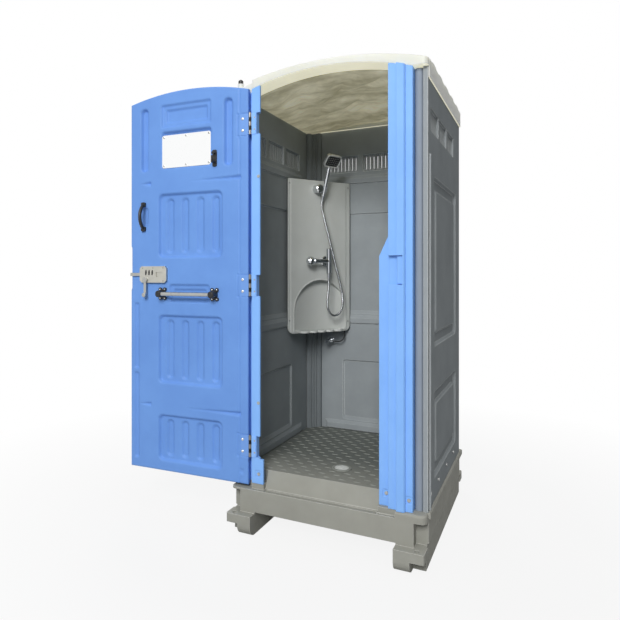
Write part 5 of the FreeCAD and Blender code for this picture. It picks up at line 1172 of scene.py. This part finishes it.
@dataclass
class ShowerSet:
    """The corner panel with its mixer, hand shower, hoses and valve."""

    # The shower hose's route, in the panel's frame
    hose_route: list[Point] = field(default_factory=lambda: [
        (0.267, 0.056, 1.276), (0.267, 0.056, 1.222), (0.255, 0.056, 1.150), (0.256, 0.056, 1.104),
        (0.274, 0.056, 1.068), (0.305, 0.056, 1.050), (0.342, 0.056, 1.058), (0.368, 0.055, 1.088),
        (0.378, 0.054, 1.138), (0.370, 0.053, 1.205), (0.340, 0.050, 1.310), (0.306, 0.050, 1.420),
        (0.272, 0.050, 1.535), (0.247, 0.048, 1.622), (0.233, 0.0425, 1.680), (0.2280, 0.0362, 1.7220),
        (0.2286, 0.0343, 1.7480), (0.2302, 0.0387, 1.7670)])
    hose_radius: float = 0.0065
    hose_pitch: float = 0.0042
    hose_rib: float = 0.07
    # The stretch of the hose next to the cradle, by its two ends
    hose_bend: tuple[Point, Point] = ((0.2345, 0.041, 1.690), (0.2306, 0.0405, 1.776))
    sleeve_length: float = 0.022
    sleeve_swell: float = 1.18
    sleeve_rib: float = 0.03
    # The supply hose's route, in the cabin's frame, and its last points behind the panel, in the panel's
    supply_route: list[Point] = field(default_factory=lambda: [
        (-0.273, 0.398, 0.878), (-0.252, 0.398, 0.878), (-0.232, 0.400, 0.876), (-0.212, 0.405, 0.885),
        (-0.200, 0.412, 0.908), (-0.201, 0.419, 0.946), (-0.214, 0.429, 1.016), (-0.233, 0.429, 1.110),
        (-0.252, 0.415, 1.214), (-0.272, 0.386, 1.300), (-0.276, 0.364, 1.346), (-0.271, 0.343, 1.380)])
    supply_ends: tuple[Point, Point] = ((0.321, -0.018, 1.390), (0.300, -0.018, 1.390))
    supply_radius: float = 0.004
    supply_pitch: float = 0.004
    supply_rib: float = 0.05
    line_steps: int = 12
    spray_thick: float = 0.003
    nozzle: Point = (0.0026, 0.0026, 0.0016)
    nozzle_grid: tuple[int, int] = (6, 4)
    nozzle_pitch: float = 0.013
    rim_out: float = 0.004
    rim_square: float = 0.4
    rim_points: int = 61
    weld_digits: int = 6
    finishes: ClassVar[dict[str, Finish]] = {
        "shower_panel": Finish.PANEL, "panel_screws": Finish.STEEL, "mixer_flange": Finish.CHROME,
        "mixer_body": Finish.CHROME, "mixer_knob": Finish.CHROME, "handset_bracket": Finish.CHROME,
        "handset_cradle": Finish.CHROME, "hand_shower": Finish.SATIN, "spray_plate": Finish.SPRAY,
        "hose_nut_handset": Finish.CHROME, "hose_nut_mixer": Finish.CHROME, "angle_valve": Finish.CHROME,
        "valve_handle": Finish.CHROME}

    def line(self, name: str, route: list[Point]) -> tuple[list[Point], float]:
        """Reads the smooth line of a hose from a spline with its route as control points.

        Args:
            name: A name for the spline.
            route: Points in metres.

        Returns:
            Points along the spline, and its length.
        """
        curve = bpy.data.curves.new(name, "CURVE")
        curve.dimensions = "3D"
        curve.resolution_u = self.line_steps
        spline = curve.splines.new("NURBS")
        spline.points.add(len(route) - 1)
        for spot, place in zip(spline.points, route):
            spot.co = (*place, 1.0)
        spline.order_u = 3
        spline.use_endpoint_u = True
        holder = new_object(name, curve)
        graph = bpy.context.evaluated_depsgraph_get()
        mesh = bpy.data.meshes.new_from_object(holder.evaluated_get(graph))
        points = [tuple(v.co) for v in mesh.vertices]
        bpy.data.objects.remove(holder)
        bpy.data.meshes.remove(mesh)
        length = sum(math.dist(a, b) for a, b in zip(points, points[1:]))
        LOG.info("%s is %.3f m long", name, length)
        return points, length

    def tube(self, name: str, points: list[Point], radius: float, pitch: float, depth: float, finish: Finish
             ) -> bpy.types.Object:
        """Makes a ribbed tube along points.

        Args:
            name: The piece's name.
            points: The line that it follows.
            radius: Its radius.
            pitch: The distance between two ribs.
            depth: The ribs' depth as a share of the radius.
            finish: Its finish.

        Returns:
            The piece.
        """
        line = mesh_object(name + "_line", points, edges=[(i, i + 1) for i in range(len(points) - 1)])
        values = {"Radius": radius, "Pitch": pitch, "Depth": depth, "Material": finish.material}
        made = grow(line, ribbed_tube_tree(), values, name)
        LOG.info("%s has %d faces", name, len(made.data.polygons))
        return made

    def tail(self, points: list[Point]) -> list[Point]:
        """Gives the last stretch of a line, which the sleeve under the hand shower covers.

        Args:
            points: The line.

        Returns:
            Its points over the sleeve's length.
        """
        kept = [points[-1]]
        far = 0.0
        for point in reversed(points[:-1]):
            far += math.dist(point, kept[0])
            kept.insert(0, point)
            if far > self.sleeve_length:
                break
        return kept

    def shower_hose(self) -> None:
        """Makes the shower hose as a ribbed tube along its route, with the sleeve at its end."""
        route = [PANEL.point(*place) for place in self.hose_route]
        points, length = self.line("shower_hose_line", route)
        hose = self.tube("shower_hose_spiral", points, self.hose_radius, self.hose_pitch, self.hose_rib,
                         Finish.HOSE)
        covered = self.tail(points)
        sleeve = self.tube("hose_sleeve", covered, self.hose_radius * self.sleeve_swell, self.hose_pitch,
                           self.sleeve_rib, Finish.HOSE)
        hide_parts("shower_hose")
        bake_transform(hose)
        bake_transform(sleeve)

    def supply_hose(self) -> None:
        """Makes the thin supply hose as a ribbed tube along its route."""
        route = self.supply_route + [PANEL.point(*place) for place in self.supply_ends]
        points, length = self.line("supply_hose_line", route)
        hose = self.tube("supply_hose_braid", points, self.supply_radius, self.supply_pitch, self.supply_rib,
                         Finish.RUBBER)
        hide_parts("supply_hose")
        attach(hose, "cabin")

    def spray_face(self) -> tuple[bpy.types.Object, bpy.types.Object]:
        """Sets rows of soft nozzles on the spray plate, square to its face, and a pale rim round it.

        Returns:
            The nozzles and the rim.
        """
        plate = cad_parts["spray_plate"].data
        corners = np.unique(np.array([v.co for v in plate.vertices]).round(self.weld_digits), axis=0)
        middle = corners.mean(axis=0)
        corners = corners - middle
        out = Vector(np.linalg.svd(corners)[2][2])
        out *= -1 if out.y > 0 else 1
        along = Vector(PANEL.direction(1, 0, 0))
        along = (along - along.dot(out) * out).normalized()
        up = along.cross(out)
        face = Vector(middle) + out * self.spray_thick / 2
        columns, rows = self.nozzle_grid
        spots = [tuple(face + along * (i - (columns - 1) / 2) * self.nozzle_pitch
                       + up * (j - (rows - 1) / 2) * self.nozzle_pitch)
                 for i in range(columns) for j in range(rows)]
        nozzles = studs("spray_nozzles", spots, self.nozzle, tuple(out), Finish.PANEL)
        sides = [np.abs(corners @ np.array(way)).max() + self.rim_out for way in (along, up)]
        loop = []
        for angle in np.linspace(0, 2 * math.pi, self.rim_points):
            wide, tall = (half * math.copysign(abs(turn) ** self.rim_square, turn)
                          for half, turn in zip(sides, (math.cos(angle), math.sin(angle))))
            loop.append(tuple(face + along * wide + up * tall))
        return nozzles, self.tube("spray_rim", loop, self.rim_out, self.hose_pitch, 0.0, Finish.PANEL)

    def build(self) -> None:
        """Dresses the shower set and makes its hoses, nozzles and rim."""
        dress(self.finishes)
        self.shower_hose()
        self.supply_hose()
        for piece in self.spray_face():
            finish_piece(piece, "handset")


@dataclass(frozen=True)
class Lamp:
    """A square soft lamp: where it stands, what it looks at, its power and its side."""

    name: str
    place: Point
    aim: Point
    watts: float
    size: float


@dataclass
class Studio:
    """Floor, light and camera."""

    camera_place: Point = (0.963, -3.085, 1.317)
    yaw_degrees: float = 27.12
    lens_mm: float = 32.98
    sensor_mm: float = 36.0
    shift: Pair = (0.085, -0.0597)
    view_end: float = 200.0
    # The sky's light at the horizon and overhead, and the power that gathers it overhead
    horizon: float = 0.06
    zenith: float = 0.84
    gather: float = 2.0
    lamps: tuple[Lamp, ...] = (
        Lamp("key_lamp", (1.1, -8.7, 5.95), (-0.1, -0.4, 1.2), 745.0, 3.6),
        Lamp("back_lamp", (-4.5, 7.5, 5.5), (0.0, 0.0, 1.2), 300.0, 3.6))
    floor_half: float = 40.0
    floor_colour: str = "#A8A8A8"
    floor_roughness: float = 0.9
    # How white the camera sees the floor near the cabin, and where it fades to white
    floor_near: float = 0.88
    floor_fade: Pair = (1.2, 3.0)
    white: tuple[float, float, float, float] = (1.0, 1.0, 1.0, 1.0)

    def world(self) -> None:
        """Soft light, brighter from above, which the camera and reflections see as white."""
        world = bpy.data.worlds.new("studio")
        bpy.context.scene.world = world
        world.use_nodes = True
        tree = world.node_tree
        place = add_node(tree, "ShaderNodeTexCoord").outputs["Generated"]
        apart = add_node(tree, "ShaderNodeSeparateXYZ", {"Vector": place})
        rise = add_node(tree, "ShaderNodeMath", {0: apart.outputs["Z"], 1: 0.0}, operation="MAXIMUM")
        high = add_node(tree, "ShaderNodeMath", {0: rise.outputs[0], 1: self.gather}, operation="POWER")
        soft = add_node(tree, "ShaderNodeMapRange",
                        {"Value": high.outputs[0], "To Min": self.horizon, "To Max": self.zenith})
        level = add_node(tree, "ShaderNodeMapRange",
                         {"Value": self.seen(tree), "To Min": soft.outputs["Result"], "To Max": 1.0})
        wire(tree, tree.nodes["Background"], {"Strength": level.outputs["Result"], "Color": self.white})

    def seen(self, tree: bpy.types.NodeTree) -> bpy.types.NodeSocket:
        """Gives a socket that is 1 for camera, glossy and transmission rays.

        Args:
            tree: The tree that reads the light path.

        Returns:
            The socket.
        """
        path = add_node(tree, "ShaderNodeLightPath").outputs
        first = add_node(tree, "ShaderNodeMath", {0: path["Is Camera Ray"], 1: path["Is Glossy Ray"]},
                         operation="MAXIMUM")
        both = add_node(tree, "ShaderNodeMath", {0: first.outputs[0], 1: path["Is Transmission Ray"]},
                        operation="MAXIMUM")
        return both.outputs[0]

    def floor(self) -> None:
        """A wide pale floor that keeps the object's shadow."""
        half = self.floor_half
        floor = mesh_object("studio_floor", [(-half, -half, 0), (half, -half, 0), (half, half, 0),
                                             (-half, half, 0)], faces=[(0, 1, 2, 3)])
        made, tree, shader = start_material("pale_studio_floor")
        wire(tree, shader, {"Base Color": linear(self.floor_colour), "Roughness": self.floor_roughness})
        bright = add_node(tree, "ShaderNodeEmission", {"Color": self.white, "Strength": 1.0})
        place = add_node(tree, "ShaderNodeTexCoord").outputs["Object"]
        away = add_node(tree, "ShaderNodeVectorMath", {0: place}, operation="LENGTH")
        white = add_node(tree, "ShaderNodeMapRange",
                         {"Value": away.outputs["Value"], "From Min": self.floor_fade[0],
                          "From Max": self.floor_fade[1], "To Min": self.floor_near, "To Max": 1.0})
        share = add_node(tree, "ShaderNodeMath", {0: self.seen(tree), 1: white.outputs["Result"]},
                         operation="MULTIPLY")
        both = add_node(tree, "ShaderNodeMixShader", {0: share.outputs[0], 1: shader.outputs[0],
                                                      2: bright.outputs[0]})
        wire(tree, tree.nodes["Material Output"], {"Surface": both.outputs[0]})
        floor.data.materials.append(made)

    def light(self, lamp: Lamp) -> None:
        """Sets up one lamp.

        Args:
            lamp: What it is and where it stands.
        """
        data = bpy.data.lights.new(lamp.name, "AREA")
        data.energy = lamp.watts
        data.size = lamp.size
        made = new_object(lamp.name, data)
        made.location = lamp.place
        made.rotation_euler = (Vector(lamp.aim) - Vector(lamp.place)).to_track_quat("-Z", "Y").to_euler()

    def camera(self) -> None:
        """The camera at the photograph's place."""
        data = bpy.data.cameras.new("photo_camera")
        data.lens = self.lens_mm
        data.sensor_width = self.sensor_mm
        data.shift_x, data.shift_y = self.shift
        data.clip_end = self.view_end
        camera = new_object("photo_camera", data)
        camera.location = self.camera_place
        camera.rotation_euler = (math.radians(90), 0, math.radians(self.yaw_degrees))
        bpy.context.scene.camera = camera

    def build(self) -> None:
        """Sets the stage."""
        bpy.context.scene.view_settings.view_transform = "Standard"
        self.world()
        self.floor()
        for lamp in self.lamps:
            self.light(lamp)
        self.camera()


def main() -> None:
    """Builds the cabin's looks in order."""
    logging.basicConfig(level=logging.INFO, format="%(name)s: %(message)s")
    Studio().build()
    for part in (ShowerSet(), SkidBase(), Shell(), DoorFrame(), Roof(), Door()):
        part.build()
        LOG.info("%s is done", type(part).__name__)


if __name__ == "__main__":
    main()
